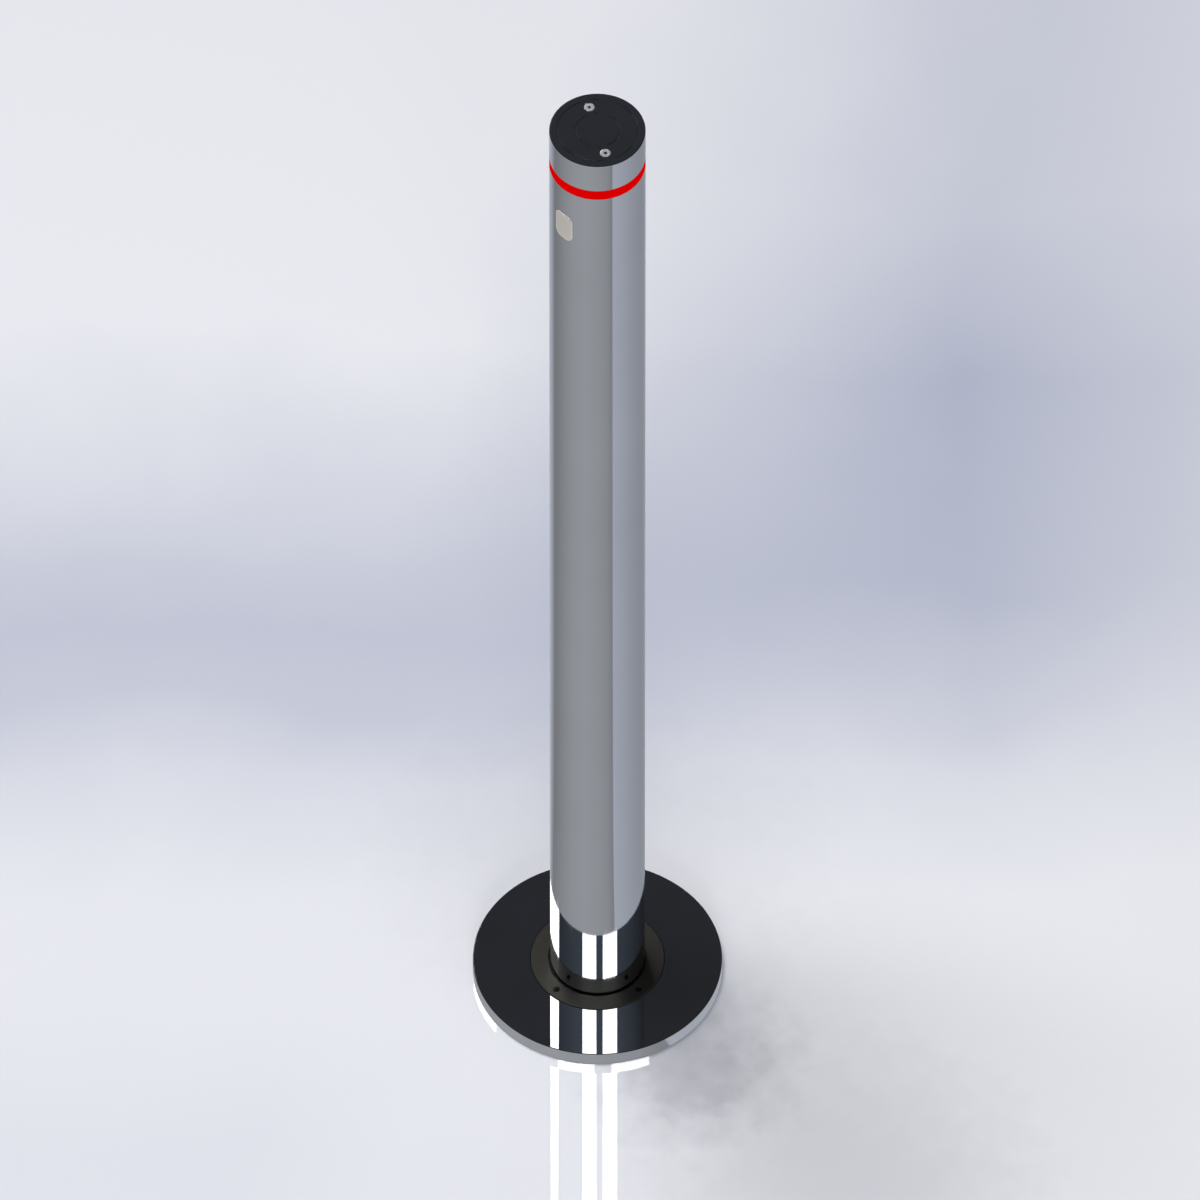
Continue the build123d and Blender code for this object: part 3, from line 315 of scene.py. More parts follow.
# %% Finish: a node tree under construction
class Finish:
    """A node tree with its shader, and the tools to feed it."""

    def __init__(self, name, owner=None):
        self.owner = owner or bpy.data.materials.new(name)
        self.owner.use_nodes = True
        self.tree = self.owner.node_tree
        shaders = ("Principled BSDF", "Background", "Emission")
        self.shader = next(node for node in self.tree.nodes if node.name in shaders)

    def plug(self, socket, value):
        if isinstance(value, Signal):
            self.tree.links.new(value.socket, socket)
        elif not hasattr(socket.default_value, "__len__"):
            socket.default_value = value
        elif not hasattr(value, "__len__"):
            socket.default_value = [value] * len(socket.default_value)
        else:
            socket.default_value = [*value, 1][: len(socket.default_value)]

    def node(self, kind, settings=None, sockets=None, output=0):
        made = self.tree.nodes.new("ShaderNode" + kind)
        for name, value in (settings or {}).items():
            if name == "stops":
                for _ in value[2:]:
                    made.color_ramp.elements.new(1)
                for element, (at, shade) in zip(made.color_ramp.elements, value):
                    element.position = at
                    element.color = (shade, shade, shade, 1)
            else:
                setattr(made, name, value)
        for name, value in (sockets or {}).items():
            self.plug(made.inputs[name], value)
        return Signal(self, made.outputs[output])

    def surface(self, **sockets):
        for name, value in sockets.items():
            self.plug(self.shader.inputs[name.replace("_", " ")], value)
        return self.owner

    def mix(self, mask, first, second):
        """One colour where the mask is 0, the other where it is 1."""
        return self.node("Mix", {"data_type": "RGBA"}, {0: mask, 6: first, 7: second}, output=2)

    def ramp(self, value, *stops):
        """A curve through (position, value) stops."""
        return self.node("ValToRGB", {"stops": stops}, {0: value})

    def place(self, scale=(1, 1, 1), turn=(0, 0, 0)):
        """The place on the piece, stretched and turned for a pattern."""
        here = self.node("TexCoord", output="Object")
        return self.node("Mapping", {}, {"Vector": here, "Rotation": turn, "Scale": scale})

    def coordinates(self):
        """The place on the piece as three signals."""
        x = self.node("SeparateXYZ", {}, {0: self.node("TexCoord", output="Object")})
        return x, x.other("Y"), x.other("Z")

    def radius(self):
        """The distance from the post's axis."""
        x, y, _ = self.coordinates()
        return (x * x + y * y) ** 0.5

    def noise(self, size, place=None, detail=2.0):
        """Soft random spots of about this size, from 0 to 1."""
        sockets = {"Vector": place or self.place(), "Scale": 1 / size, "Detail": detail}
        return self.node("TexNoise", {}, sockets)

    def bump(self, height, depth):
        """A surface relief, its depth in metres."""
        return self.node("Bump", {}, {"Height": height, "Distance": depth})


# %% [markdown]
# The floor is a thin pale ring that ends under the disc. It is a soft white with cloudy bands of
# lavender, one set at the left and one at the right, which are a painted bluish shade, and soft dim
# spots beside the disc, which are a painted shadow where the shadow falls. A clear coat mirrors the
# post as polished stone does. What the steel mirrors is mostly this floor, and the photograph shows
# two plain greys in it that meet at a sharp edge, so mirrored rays see the floor in two sectors.
# These greys are a painted reflection: for mirrored rays the floor gives off its own light.

# %% Floor
floor_inner, floor_outer, floor_depth = 0.095, 1.15, 0.2 * MM
floor_shape = ring_section(floor_inner, floor_outer, -floor_depth, -2 * floor_depth)
floor_data = bpy.data.meshes.new("floor")
spun(floor_shape, 128).to_mesh(floor_data)
floor_shape.free()
floor = bpy.data.objects.new("floor", floor_data)
bpy.context.scene.collection.objects.link(floor)

stone = Finish("pale_floor")
across, along, _ = stone.coordinates()
rightward = across * to_the_right.x + along * to_the_right.y
backward = along * to_the_right.x - across * to_the_right.y
clouds = stone.noise(0.28, detail=3.0) - 0.5
mottles = stone.noise(0.022, detail=2.0) - 0.5
depth = backward + 0.16 * clouds + 0.2
# Painted bluish shade: cloudy lavender bands that darken the pale floor.
near_band = stone.ramp(
    depth, (0, 0.22), (0.17, 0.1), (0.26, 0.1), (0.4, 0.4), (0.48, 0.7), (0.55, 0.78),
    (0.63, 0.64), (0.86, 0.02),
)
far_band = stone.ramp(
    depth, (0.28, 0), (0.4, 0.28), (0.47, 0.56), (0.6, 0.93), (0.82, 1), (1, 0.66)
)
slant = rightward + 0.5 + 0.2 * clouds - 0.25 * (backward - 0.65)
side = stone.ramp(slant, (0.4, 0), (0.8, 1))
far_right = stone.ramp(rightward + 0.5, (0.8, 1), (1, 0.6))
painted_bluish_shade = (near_band * (1 - side) + far_band * side) * far_right


def spot(right, back, *stops):
    """A soft round painted shadow on the floor, from (distance, strength) stops."""
    away = ((rightward - right) ** 2 + (backward - back) ** 2) ** 0.5
    return stone.ramp(away + 0.08 * clouds + 0.07 * mottles, *stops)


# Painted shadow: three dim spots on the floor, two where the post's soft shadow falls and one
# behind the disc.
near_shadow = spot(0.068, -0.108, (0, 0.42), (0.03, 0.34), (0.06, 0.14), (0.1, 0))
far_shadow = spot(0.19, -0.25, (0, 0.3), (0.08, 0.26), (0.2, 0.05), (0.34, 0))
back_shadow = spot(0, 0.11, (0, 0.15), (0.08, 0.13), (0.2, 0))
pale_with_painted_shade = stone.mix(painted_bluish_shade, (0.80, 0.80, 0.83), (0.43, 0.455, 0.56))
stone.surface(
    Base_Color=stone.mix(near_shadow + far_shadow + back_shadow, pale_with_painted_shade, (0.28, 0.28, 0.31)),
    Roughness=0.6,
    Specular_IOR_Level=0.0,
    Coat_Weight=1.0,
    Coat_Roughness=0.002,
    Coat_IOR=1.5,
)
# Painted reflection: for mirrored rays the floor gives off two plain greys in sectors, each with
# its tone, instead of being lit.
angle = backward.maths("ARCTAN2", rightward, -1 * backward) * degrees(1)
edge_left, edge_right = -124, 35.4
sector = (angle > edge_left) * (angle < edge_right)
tones = [
    (-180, 0.80), (-143, 0.76), (-125, 0.52), (-106, 0.62), (-82, 0.80), (-58, 0.94),
    (-27, 1.0), (1, 0.94), (21, 0.85), (31, 0.73), (35.3, 0.69), (35.5, 0.97), (62, 0.87),
    (86, 0.75), (116, 0.62), (137, 0.55), (180, 0.6),
]
tone = stone.ramp((angle + 180) * (1 / 360), *[((a + 180) / 360, shade) for a, shade in tones])
grey = stone.mix(sector, (0.64, 0.68, 0.765), (0.515, 0.53, 0.556))
painted_reflection = stone.node("Emission", {}, {"Color": stone.mix(tone, (0, 0, 0), grey)})
glossy_ray = stone.node("LightPath", output="Is Glossy Ray")
plain = Signal(stone, stone.shader.outputs[0])
blend = stone.node("MixShader", {}, {0: glossy_ray, 1: plain, 2: painted_reflection})
stone.plug(stone.tree.nodes["Material Output"].inputs["Surface"], blend)
floor_data.materials.append(stone.owner)

# %% [markdown]
# The world is a pale studio. The camera sees it as a plain backdrop, and it gives the soft light
# that fills the shadows. High up, metal sees it brighter and bluer on the camera's side than
# behind the post, which is why the black disc looks black. Low down it is an even grey with soft
# upright bands, so the steel has depth from the sides as well.

# %% World
scene = bpy.context.scene
scene.view_settings.view_transform = "Standard"
world = Finish("studio", bpy.data.worlds.new("studio"))
scene.world = world.owner
direction = world.node("SeparateXYZ", {}, {0: world.node("TexCoord", output="Generated")})
facing = direction.other("Y") * -to_the_right.x + direction * to_the_right.y
sky = world.mix(
    world.ramp(facing + 0.5, (0.0, 0.0), (1.0, 1.0)), (0.10, 0.105, 0.12), (0.51, 0.62, 0.78)
)
swing = direction.maths("ARCTAN2", direction, direction.other("Y")) * 3 + 0.6
bands = swing.maths("SINE", swing)
horizon = world.mix(bands * 0.5 + 0.5, (0.30, 0.32, 0.35), (0.84, 0.87, 0.92))
high = world.ramp(direction.other("Z"), (0.25, 0.0), (0.6, 1.0))
sky = world.mix(high, horizon, sky)
light_path = world.node("LightPath", output="Is Camera Ray")
seen = world.mix(light_path.other("Is Glossy Ray"), (0.44, 0.45, 0.475), sky)
world.surface(Color=world.mix(light_path, seen, (0.78, 0.79, 0.83)), Strength=1.0)


# %% [markdown]
# One large soft lamp stands high behind the post, a little to its left, and draws the soft shadow
# to the right and front. A second one, low in front, fills in what faces the camera and is seen in
# no mirror. Three tall panels far away make the white streaks at the post's foot: they are only
# seen in mirrors, give nothing to light that has been scattered once, and leave the floor unlit,
# which keeps the streaks that it mirrors crisp.

# %% Lamps
def lamp(name, width, height, where, power, aim=(0, 0, 0.4)):
    """A rectangular lamp that faces a point."""
    light = bpy.data.lights.new(name, "AREA")
    light.shape = "RECTANGLE"
    light.size, light.size_y, light.energy = width, height, power
    stand = bpy.data.objects.new(name, light)
    stand.rotation_mode = "QUATERNION"
    stand.location = where
    stand.rotation_quaternion = (Vector(where) - Vector(aim)).to_track_quat("Z", "Y")
    bpy.context.scene.collection.objects.link(stand)
    return stand


key_place = 4 * (-0.198 * to_the_right + 0.117 * to_the_back + upward)
lamp("key", 1.15, 1.15, key_place, 96)

fill_elevation = radians(15)
fill_place = 5 * (sin(fill_elevation) * upward - cos(fill_elevation) * to_the_back)
fill = lamp("fill", 1.6, 1.6, fill_place, 95)
fill.visible_glossy = fill.visible_camera = False

not_lit = bpy.data.collections.new("not lit by the panels")
not_lit.objects.link(floor)
not_lit.collection_objects[0].light_linking.link_state = "EXCLUDE"
panel_distance, panel_height, panel_elevation = 10, 1.4, radians(50)
for low_angle, high_angle in ((-168, -106), (-36.1, -3.4), (13.6, 48)):
    middle = radians((low_angle + high_angle) / 2)
    width = 2 * panel_distance * cos(panel_elevation) * tan(radians(high_angle - low_angle) / 2)
    outward = sin(middle) * to_the_right - cos(middle) * to_the_back
    place = panel_distance * (cos(panel_elevation) * outward + sin(panel_elevation) * upward)
    panel = lamp(f"panel_{int(low_angle)}", width, panel_height, place, 96 * width, (0, 0, 0))
    panel.visible_camera = panel.visible_diffuse = False
    panel.light_linking.receiver_collection = not_lit
    shine = Finish(panel.name, panel.data)
    shine.surface(Strength=shine.node("LightPath", output="Diffuse Depth") < 1)

# %% [markdown]
# The post is polished steel. A mirror needs little: a grey metal, a low roughness that changes a
# little with old smudges, and a grain along the post that is too fine to see as lines. Finishes are
# kept by the name of their slot, because each piece asks for its finish by that name.

# %% Polished steel
finishes = {}
steel = Finish("polished_steel")
grain = steel.noise(0.5 * MM, steel.place(scale=(1, 1, 0.01)), detail=3.0)
smudges = steel.noise(80 * MM, detail=4.0)
finishes["polished_steel"] = steel.surface(
    Base_Color=steel.mix(smudges, (0.50, 0.51, 0.53), (0.56, 0.57, 0.59)),
    Metallic=1.0,
    Roughness=0.015 + 0.015 * grain + 0.02 * smudges,
    Normal=steel.bump(grain, 0.001 * MM),
)

# %% [markdown]
# The disc and the cap share one finish: black lacquer on top, and bare steel where the piece was
# turned after painting. The distance from the axis tells which is which, so one material serves
# both pieces. A clear coat gives the lacquer its mirror, and its skin waves a little. The coat
# stops just short of the outer edge and of the collar, and lies thinner in the cap's grooves.

# %% Gloss black with a bare rim
gloss = Finish("black_gloss")
reach = gloss.radius()
on_cap = reach < post_radius + 1 * MM
to_rim = disc_radius - on_cap * (disc_radius - post_radius) - reach
bare = to_rim < 0.04 * MM
edge_width, recess_width, half_groove = 0.5 * MM, 0.7 * MM, 0.5 * MM
matt_edge = (to_rim < edge_width) + (1 - on_cap) * (reach < collar_radius + recess_width)
grooves = on_cap * sum(abs(reach - middle) < half_groove for middle in groove_middles)
skin = gloss.noise(5 * MM, detail=1.0)
dust = gloss.noise(30 * MM, detail=6.0)
finishes["black_gloss"] = gloss.surface(
    Base_Color=gloss.mix(
        bare,
        gloss.mix(dust, (0.006, 0.007, 0.009), (0.011, 0.012, 0.015)),
        gloss.mix(dust, (0.50, 0.51, 0.52), (0.60, 0.61, 0.62)),
    ),
    Metallic=bare,
    Roughness=0.3 - 0.27 * bare + 0.06 * dust,
    Specular_IOR_Level=0.0,
    Coat_Weight=1 - matt_edge - 0.6 * grooves,
    Coat_Roughness=0.02,
    Coat_IOR=2.0,
    Normal=gloss.bump(skin, 0.003 * MM),
)

# %% [markdown]
# The collar is satin, not glossy: an olive black with fine rings from the lathe, which are a noise
# that changes only with the distance from the axis. Its outer edge is worn a little paler and
# duller.

# %% Dark collar
satin = Finish("dark_collar")
reach = satin.radius()
rings = satin.node("TexNoise", {"noise_dimensions": "1D"}, {"W": reach, "Scale": 1 / (0.3 * MM)})
patches = satin.noise(12 * MM, detail=3.0)
past_the_wear = (reach - (collar_radius - 0.9 * MM)) * (1 / MM)
worn = satin.ramp(past_the_wear + 0.4 * (patches - 0.5), (0.3, 0), (0.9, 1))
olive = satin.mix(patches, (0.003, 0.0026, 0.0012), (0.005, 0.0045, 0.0025))
finishes["dark_collar"] = satin.surface(
    Base_Color=satin.mix(worn * 0.5, olive, (0.03, 0.03, 0.028)),
    Roughness=0.36 + 0.12 * rings + 0.05 * patches + 0.4 * worn,
    Specular_IOR_Level=0.2,
    Specular_Tint=(1.0, 0.97, 0.88),
    Normal=satin.bump(rings, 0.01 * MM),
)


# %% [markdown]
# Many of the smaller finishes are one colour with soft variation, a roughness that follows it and
# a relief of one grain size. One helper writes them, and each call reads like a row of a list. The
# faces of a screw's socket carry an attribute that paints them almost black: a painted shade in the
# socket.

# %% Plain finishes with a grain
def grained(name, dark, light, roughness, grain_size, depth, metallic=0.0):
    """A finish with soft colour variation and a fine relief."""
    made = Finish(name)
    spots = made.noise(25 * grain_size, detail=3.0)
    fine = made.noise(grain_size, detail=2.0)
    tint = made.mix(spots * 0.6 + fine * 0.4, dark, light)
    # Painted shade: the faces of a screw's socket are painted almost black, as if in shadow.
    if name.endswith("screws"):
        recess = made.node("Attribute", {"attribute_name": "recess"}, output="Fac")
        tint = made.mix(recess * 0.93, tint, (0.01, 0.01, 0.01))
        made.surface(Specular_IOR_Level=0.02)
    finishes[name] = made.surface(
        Base_Color=tint,
        Metallic=metallic,
        Roughness=roughness + 0.12 * (fine - 0.5),
        Normal=made.bump(fine, depth),
    )


grained("black_screws", (0.002, 0.002, 0.002), (0.004, 0.0035, 0.003), 0.2, 0.4 * MM, 0.002 * MM)
grained("bright_screws", (0.52, 0.52, 0.53), (0.66, 0.66, 0.67), 0.24, 0.3 * MM, 0.002 * MM, 1.0)
grained("black_plastic", (0.006, 0.006, 0.007), (0.012, 0.012, 0.013), 0.5, 0.35 * MM, 0.02 * MM)
grained("black_rubber", (0.005, 0.005, 0.005), (0.012, 0.012, 0.011), 0.72, 0.5 * MM, 0.02 * MM)
grained("red_rubber", (0.27, 0.012, 0.009), (0.38, 0.02, 0.014), 0.6, 0.5 * MM, 0.02 * MM)
grained("slide_plastic", (0.66, 0.63, 0.53), (0.76, 0.73, 0.63), 0.38, 0.6 * MM, 0.006 * MM)
grained("motor_paint", (0.012, 0.013, 0.015), (0.022, 0.023, 0.026), 0.36, 0.9 * MM, 0.02 * MM)
grained("nickel_brass", (0.50, 0.46, 0.38), (0.62, 0.59, 0.52), 0.22, 0.4 * MM, 0.003 * MM, 1.0)
grained("bronze", (0.40, 0.20, 0.055), (0.52, 0.29, 0.09), 0.26, 0.4 * MM, 0.004 * MM, 1.0)
print("plain finishes", len(finishes))

# %% [markdown]
# Turned and ground metal shows the tool's path: rings round the axis that lie close together
# along it. A noise that only changes with height and with the distance from the axis draws them.

# %% Turned aluminium and ground steel
for name, dark, light, roughness, step in (
    ("turned_aluminium", (0.56, 0.57, 0.58), (0.66, 0.67, 0.69), 0.26, 0.35 * MM),
    ("ground_steel", (0.46, 0.47, 0.49), (0.56, 0.57, 0.59), 0.14, 0.15 * MM),
):
    lathe = Finish(name)
    path = lathe.node("CombineXYZ", {}, {0: lathe.radius(), 1: lathe.coordinates()[2]})
    rings = lathe.noise(step, path, detail=2.0)
    tint = lathe.noise(40 * MM, detail=3.0)
    finishes[name] = lathe.surface(
        Base_Color=lathe.mix(tint, dark, light),
        Metallic=1.0,
        Roughness=roughness + 0.14 * (rings - 0.5) + 0.05 * tint,
        Normal=lathe.bump(rings, 0.004 * MM),
    )

# %% [markdown]
# Hot-dip zinc freezes into flat crystals, each with its own grey. Voronoi cells are those crystals,
# and a noise dulls them here and there with the pale bloom that damp leaves.

# %% Zinc
zinc = Finish("zinc_steel")
wavy = zinc.node(
    "VectorMath", {"operation": "MULTIPLY_ADD"},
    {0: zinc.noise(9 * MM).other("Color"), 1: (5 * MM,) * 3, 2: zinc.place()},
)
crystals = zinc.node("TexVoronoi", {}, {"Vector": wavy, "Scale": 1 / (9 * MM)}, output="Color")
bloom = zinc.ramp(zinc.noise(60 * MM, detail=5.0), (0.45, 0), (0.72, 1))
flakes = zinc.mix(crystals + 0, (0.34, 0.355, 0.37), (0.56, 0.575, 0.59))
finishes["zinc_steel"] = zinc.surface(
    Base_Color=zinc.mix(bloom * 0.6, flakes, (0.55, 0.56, 0.57)),
    Metallic=1 - 0.35 * bloom,
    Roughness=0.34 + 0.12 * crystals + 0.16 * bloom,
    Normal=zinc.bump(crystals + 0, 0.01 * MM),
)

# %% [markdown]
# The light ring is red plastic, lit from behind. It gives off its own plain red, a little darker
# along its two edges, and faint upright ribs break up the lamps behind it.

# %% Red lens
lens_red = Finish("red_lens")
x, y, z = lens_red.coordinates()
ring_middle, ring_half = (ring_low.z + ring_high.z) / 2, (ring_high.z - ring_low.z) / 2
near_edge = lens_red.ramp(abs(z - ring_middle) * (1 / ring_half), (0.84, 0), (0.98, 1))
turn_angle = x.maths("ARCTAN2", y, x) * 120
ribs = turn_angle.maths("SINE", turn_angle)
glow = lens_red.mix(near_edge + 0.05 * ribs, (0.64, 0.0, 0.0), (0.38, 0.001, 0.001))
finishes["red_lens"] = lens_red.surface(
    Base_Color=lens_red.mix(near_edge, (0.06, 0.0, 0.0), (0.05, 0.0, 0.0)),
    Roughness=0.35 + 0.05 * ribs,
    Specular_IOR_Level=0.0,
    Emission_Color=glow,
    Emission_Strength=1.0,
)

# %% [markdown]
# The reader's pane is beige plastic with a paler, rounded rim. A power of each coordinate adds up
# to a rounded rectangle, which is how far the rim reaches in.

# %% Reader pane
pane_beige = Finish("reader_pane")
x, _, z = pane_beige.coordinates()
across_pane = abs(x) * (2 / window_width)
up_pane = abs(z - window_level) * (2 / window_height)
rim = pane_beige.ramp(across_pane**6 + up_pane**8, (0.60, 0), (0.80, 1))
speckle = pane_beige.noise(0.5 * MM, detail=3.0)
finishes["reader_pane"] = pane_beige.surface(
    Base_Color=pane_beige.mix(
        rim,
        pane_beige.mix(speckle, (0.50, 0.474, 0.42), (0.55, 0.52, 0.465)),
        (0.66, 0.645, 0.60),
    ),
    Roughness=0.34 + 0.08 * speckle,
    Specular_IOR_Level=0.1,
    Normal=pane_beige.bump(speckle, 0.002 * MM),
)

# %% [markdown]
# Circuit boards are green lacquer over copper tracks. Stretched bricks make a fair set of tracks,
# and the lacquer shows them as a lighter green.

# %% Circuit board
board = Finish("circuit_board")
tracks = board.node(
    "TexBrick", {"offset": 0.37},
    {
        "Vector": board.place(turn=(radians(90), 0, 0)), "Scale": 1 / MM, "Mortar Size": 0.12,
        "Brick Width": 3.1, "Row Height": 0.9, "Color1": 0.0, "Color2": 0.0, "Mortar": 1.0,
    },
)
lacquer = board.noise(3 * MM, detail=2.0)
green = board.mix(lacquer, (0.004, 0.055, 0.02), (0.008, 0.075, 0.03))
finishes["circuit_board"] = board.surface(
    Base_Color=board.mix(tracks + 0, green, (0.05, 0.20, 0.09)),
    Roughness=0.25 + 0.1 * lacquer,
    Normal=board.bump(tracks + 0, 0.02 * MM),
)
print("finishes", len(finishes))

# %% [markdown]
# Screws come in groups of equal ones. One is turned and gets its socket, and copies go to their
# places on a circle. The same holds for the holes that they sit in: a countersunk hole is cut by
# a turned cutter that is a little wider than the screw.

# %% Screws, holes and copies
M3 = {"shank": 1.5 * MM, "head": 2.75 * MM, "socket": 1.15 * MM, "depth": 1.2 * MM}
M4 = {"shank": 2.0 * MM, "head": 4.2 * MM, "socket": 1.45 * MM, "depth": 1.6 * MM}
M5 = {"shank": 2.5 * MM, "head": 4.25 * MM, "socket": 2.3 * MM, "depth": 2.5 * MM}
thread_gap = 0.05 * MM


def sunk_screw(size, length):
    """A countersunk screw with a hexagon socket, its flat head at height 0."""
    shank, head = size["shank"] - thread_gap, size["head"] - thread_gap
    tip = 0.5 * MM
    shape = outline(
        (0, 0), (head, 0), (shank, shank - head), (shank, tip - length),
        (shank - tip, -length), (0, -length),
    )
    ease(shape, 0.12 * MM, (head, 0))
    spun(shape, 48)
    shape = cut(shape, cylinder(size["socket"], -size["depth"], MM, sides=6))
    # Painted shade: the socket's own faces are marked here, to be painted almost black.
    recess = shape.faces.layers.float.new("recess")
    for face in shape.faces:
        middle = face.calc_center_median()
        face[recess] = middle.xy.length < size["socket"] and middle.z > -1.01 * size["depth"]
    return shape


def sunk_cutter(size, depth):
    """A cutter for a countersunk clearance hole."""
    shank, head = size["shank"] + 2 * thread_gap, size["head"]
    shape = outline((0, MM), (head + MM, MM), (shank, shank - head), (shank, -depth), (0, -depth))
    return spun(shape, 48)


def copies(shape, places):
    """One bmesh with a copy of the shape at each place."""
    data = bpy.data.meshes.new("pattern")
    shape.to_mesh(data)
    shape.free()
    pattern = bmesh.new()
    for place in places:
        before = len(pattern.verts)
        pattern.from_mesh(data)
        bmesh.ops.transform(pattern, matrix=place, verts=pattern.verts[before:])
    bpy.data.meshes.remove(data)
    return pattern


def joined(*shapes):
    """One bmesh that holds several shapes."""
    whole = bmesh.new()
    for shape in shapes:
        data = bpy.data.meshes.new("share")
        shape.to_mesh(data)
        shape.free()
        whole.from_mesh(data)
        bpy.data.meshes.remove(data)
    return whole


# %% [markdown]
# Where a screw goes in from the side, its place has to look outwards. A direction's track
# quaternion turns the Z axis to it.

# %% Places that face outwards
def outward_places(radius, height, count, start):
    """Matrices on a circle round the axis whose Z axis points away from it."""
    places = []
    for angle in equal_angles(count, start):
        direction = Vector((cos(angle), sin(angle), 0))
        turn = direction.to_track_quat("Z", "Y").to_matrix().to_4x4()
        places.append(Matrix.Translation(radius * direction + Vector((0, 0, height))) @ turn)
    return places


# %% [markdown]
# The base disc is one turned plate. Its outline goes round the recess for the collar, the seat of
# the wiper seal and the shallow recess below that sits over the casing head. The top edge is
# chamfered, and the chamfer's own edges are rounded, as on a turned part. Under the collar are
# countersunk holes for the disc's own screws, and four holes for ground studs open downwards.

# %% Base disc
recess_radius = collar_radius + 0.1 * MM
seal_radius = 41.5 * MM
seat_radius, seat_top = 80.1 * MM, 2 * MM
stud_hole, stud_depth, stud_circle, stud_top = 3.4 * MM, 10 * MM, 90 * MM, 9 * MM
edge = 0.4 * MM
disc = outline(
    (collar_bore, seat_top), (collar_bore, seal_low.z), (seal_radius, seal_low.z),
    (seal_radius, collar_low.z), (recess_radius, collar_low.z), (recess_radius, disc_top),
    (disc_radius - edge, disc_top), (disc_radius, disc_top - edge), (disc_radius, 0),
    (seat_radius, 0), (seat_radius, seat_top),
)
ease(disc, 0.15 * MM, (disc_radius - edge, disc_top), (disc_radius, disc_top - edge))
ease(disc, 0.25 * MM, (disc_radius, 0), (recess_radius, disc_top))
spun(disc, 256)
disc_screw_places = ring_places(collar_screw_circle, collar_low.z, 4, 45)
holes = (
    (sunk_cutter(M5, 2 * disc_top), disc_screw_places),
    (cylinder(M3["shank"], -5 * MM, 0), ring_places(collar_screw_circle, collar_low.z, 4, 0)),
    (cylinder(stud_hole, -stud_depth, 0), ring_places(stud_circle, stud_top, 4, 45)),
)
for cutter, places in holes:
    disc = cut(disc, copies(cutter, places))
finished(disc, "disc", "casing", ["base_disc"], "black_gloss")

# %% [markdown]
# The collar is a flat ring with four countersunk holes. A dark gap of a millimetre and a half
# stays between it and the post.

# %% Collar and its screws
collar = ring_section(collar_bore, collar_radius, collar_low.z, collar_high.z)
ease(collar, 0.4 * MM, (collar_radius, collar_high.z), (collar_bore, collar_high.z))
spun(collar)
collar_places = ring_places(collar_screw_circle, collar_high.z, 4, 0)
collar = cut(collar, copies(sunk_cutter(M3, 6 * MM), collar_places))
finished(collar, "collar", "casing", ["collar_ring"], "dark_collar")
collar_bolts = copies(sunk_screw(M3, 9 * MM), collar_places)
finished(collar_bolts, "collar_bolts", "casing", ["collar_screws"], "black_screws")
disc_bolts = copies(sunk_screw(M5, 20 * MM), disc_screw_places)
finished(disc_bolts, "disc_bolts", "casing", ["disc_screws"], "bright_screws")

# %% [markdown]
# The wiper is a rubber ring whose thin lip leans in to the post. Its corners are rounder than
# those of metal.

# %% Wiper
lip_radius, lip_height = 38.35 * MM, 1.5 * MM
wiper = outline(
    (seal_radius, seal_low.z), (seal_radius, seal_high.z), (lip_radius, seal_high.z),
    (lip_radius, seal_high.z - lip_height), (collar_bore, seal_high.z - 2 * lip_height),
    (collar_bore, seal_low.z),
)
ease(wiper, 0.3 * MM, (lip_radius, seal_high.z), (lip_radius, seal_high.z - lip_height))
ease(wiper, 0.3 * MM, (seal_radius, seal_low.z), (seal_radius, seal_high.z))
finished(spun(wiper), "wiper", "casing", ["wiper_seal"], "black_rubber")


# %% [markdown]
# The post is a long tube, and its mirror shows every facet. So its round faces get exact normals:
# each corner of a round face looks straight away from the axis, and all other faces keep theirs.
# A hole that is cut through the wall then leaves no trace around it.

# %% Exact normals for round faces
def round_normals(piece, radius):
    """Sets the normals of the faces that lie on a cylinder of this radius round the axis."""
    piece.modifiers.clear()
    data = piece.data
    normals = []
    for polygon in data.polygons:
        outward = Vector((polygon.center.x, polygon.center.y, 0))
        corners = [data.vertices[index].co for index in polygon.vertices]
        on_it = all(abs(corner.xy.length - radius) < SAME_PLACE for corner in corners)
        on_it = on_it and outward.length > 0 and polygon.normal.dot(outward.normalized()) > 0.99
        for corner in corners:
            normals.append(Vector((corner.x, corner.y, 0)).normalized() if on_it else Vector())
    data.normals_split_custom_set(normals)


# %% [markdown]
# A window is cut by a prism with rounded corners. Its outline is drawn like a turned piece's,
# filled, and then extruded along Y. Every cutter goes a little past the surface that it cuts, so
# no two faces lie on each other.

# %% Prisms with rounded corners
past = 5 * MM


def extruded(shape, near, far):
    """Makes an outline a solid between two places along Y."""
    bmesh.ops.translate(shape, verts=shape.verts, vec=(0, near, 0))
    face = bmesh.ops.contextual_create(shape, geom=shape.edges[:])["faces"]
    grown = bmesh.ops.extrude_face_region(shape, geom=face)["geom"]
    moved = [item for item in grown if isinstance(item, bmesh.types.BMVert)]
    bmesh.ops.translate(shape, verts=moved, vec=(0, far - near, 0))
    bmesh.ops.recalc_face_normals(shape, faces=shape.faces)
    return shape


def prism(width, height, corner, level, near, far):
    """A rounded box that goes along Y, centred on the post's axis at a level."""
    x, z = width / 2, height / 2
    points = [(x, level - z), (x, level + z), (-x, level + z), (-x, level - z)]
    return extruded(ease(outline(*points), corner, *points, segments=12), near, far)


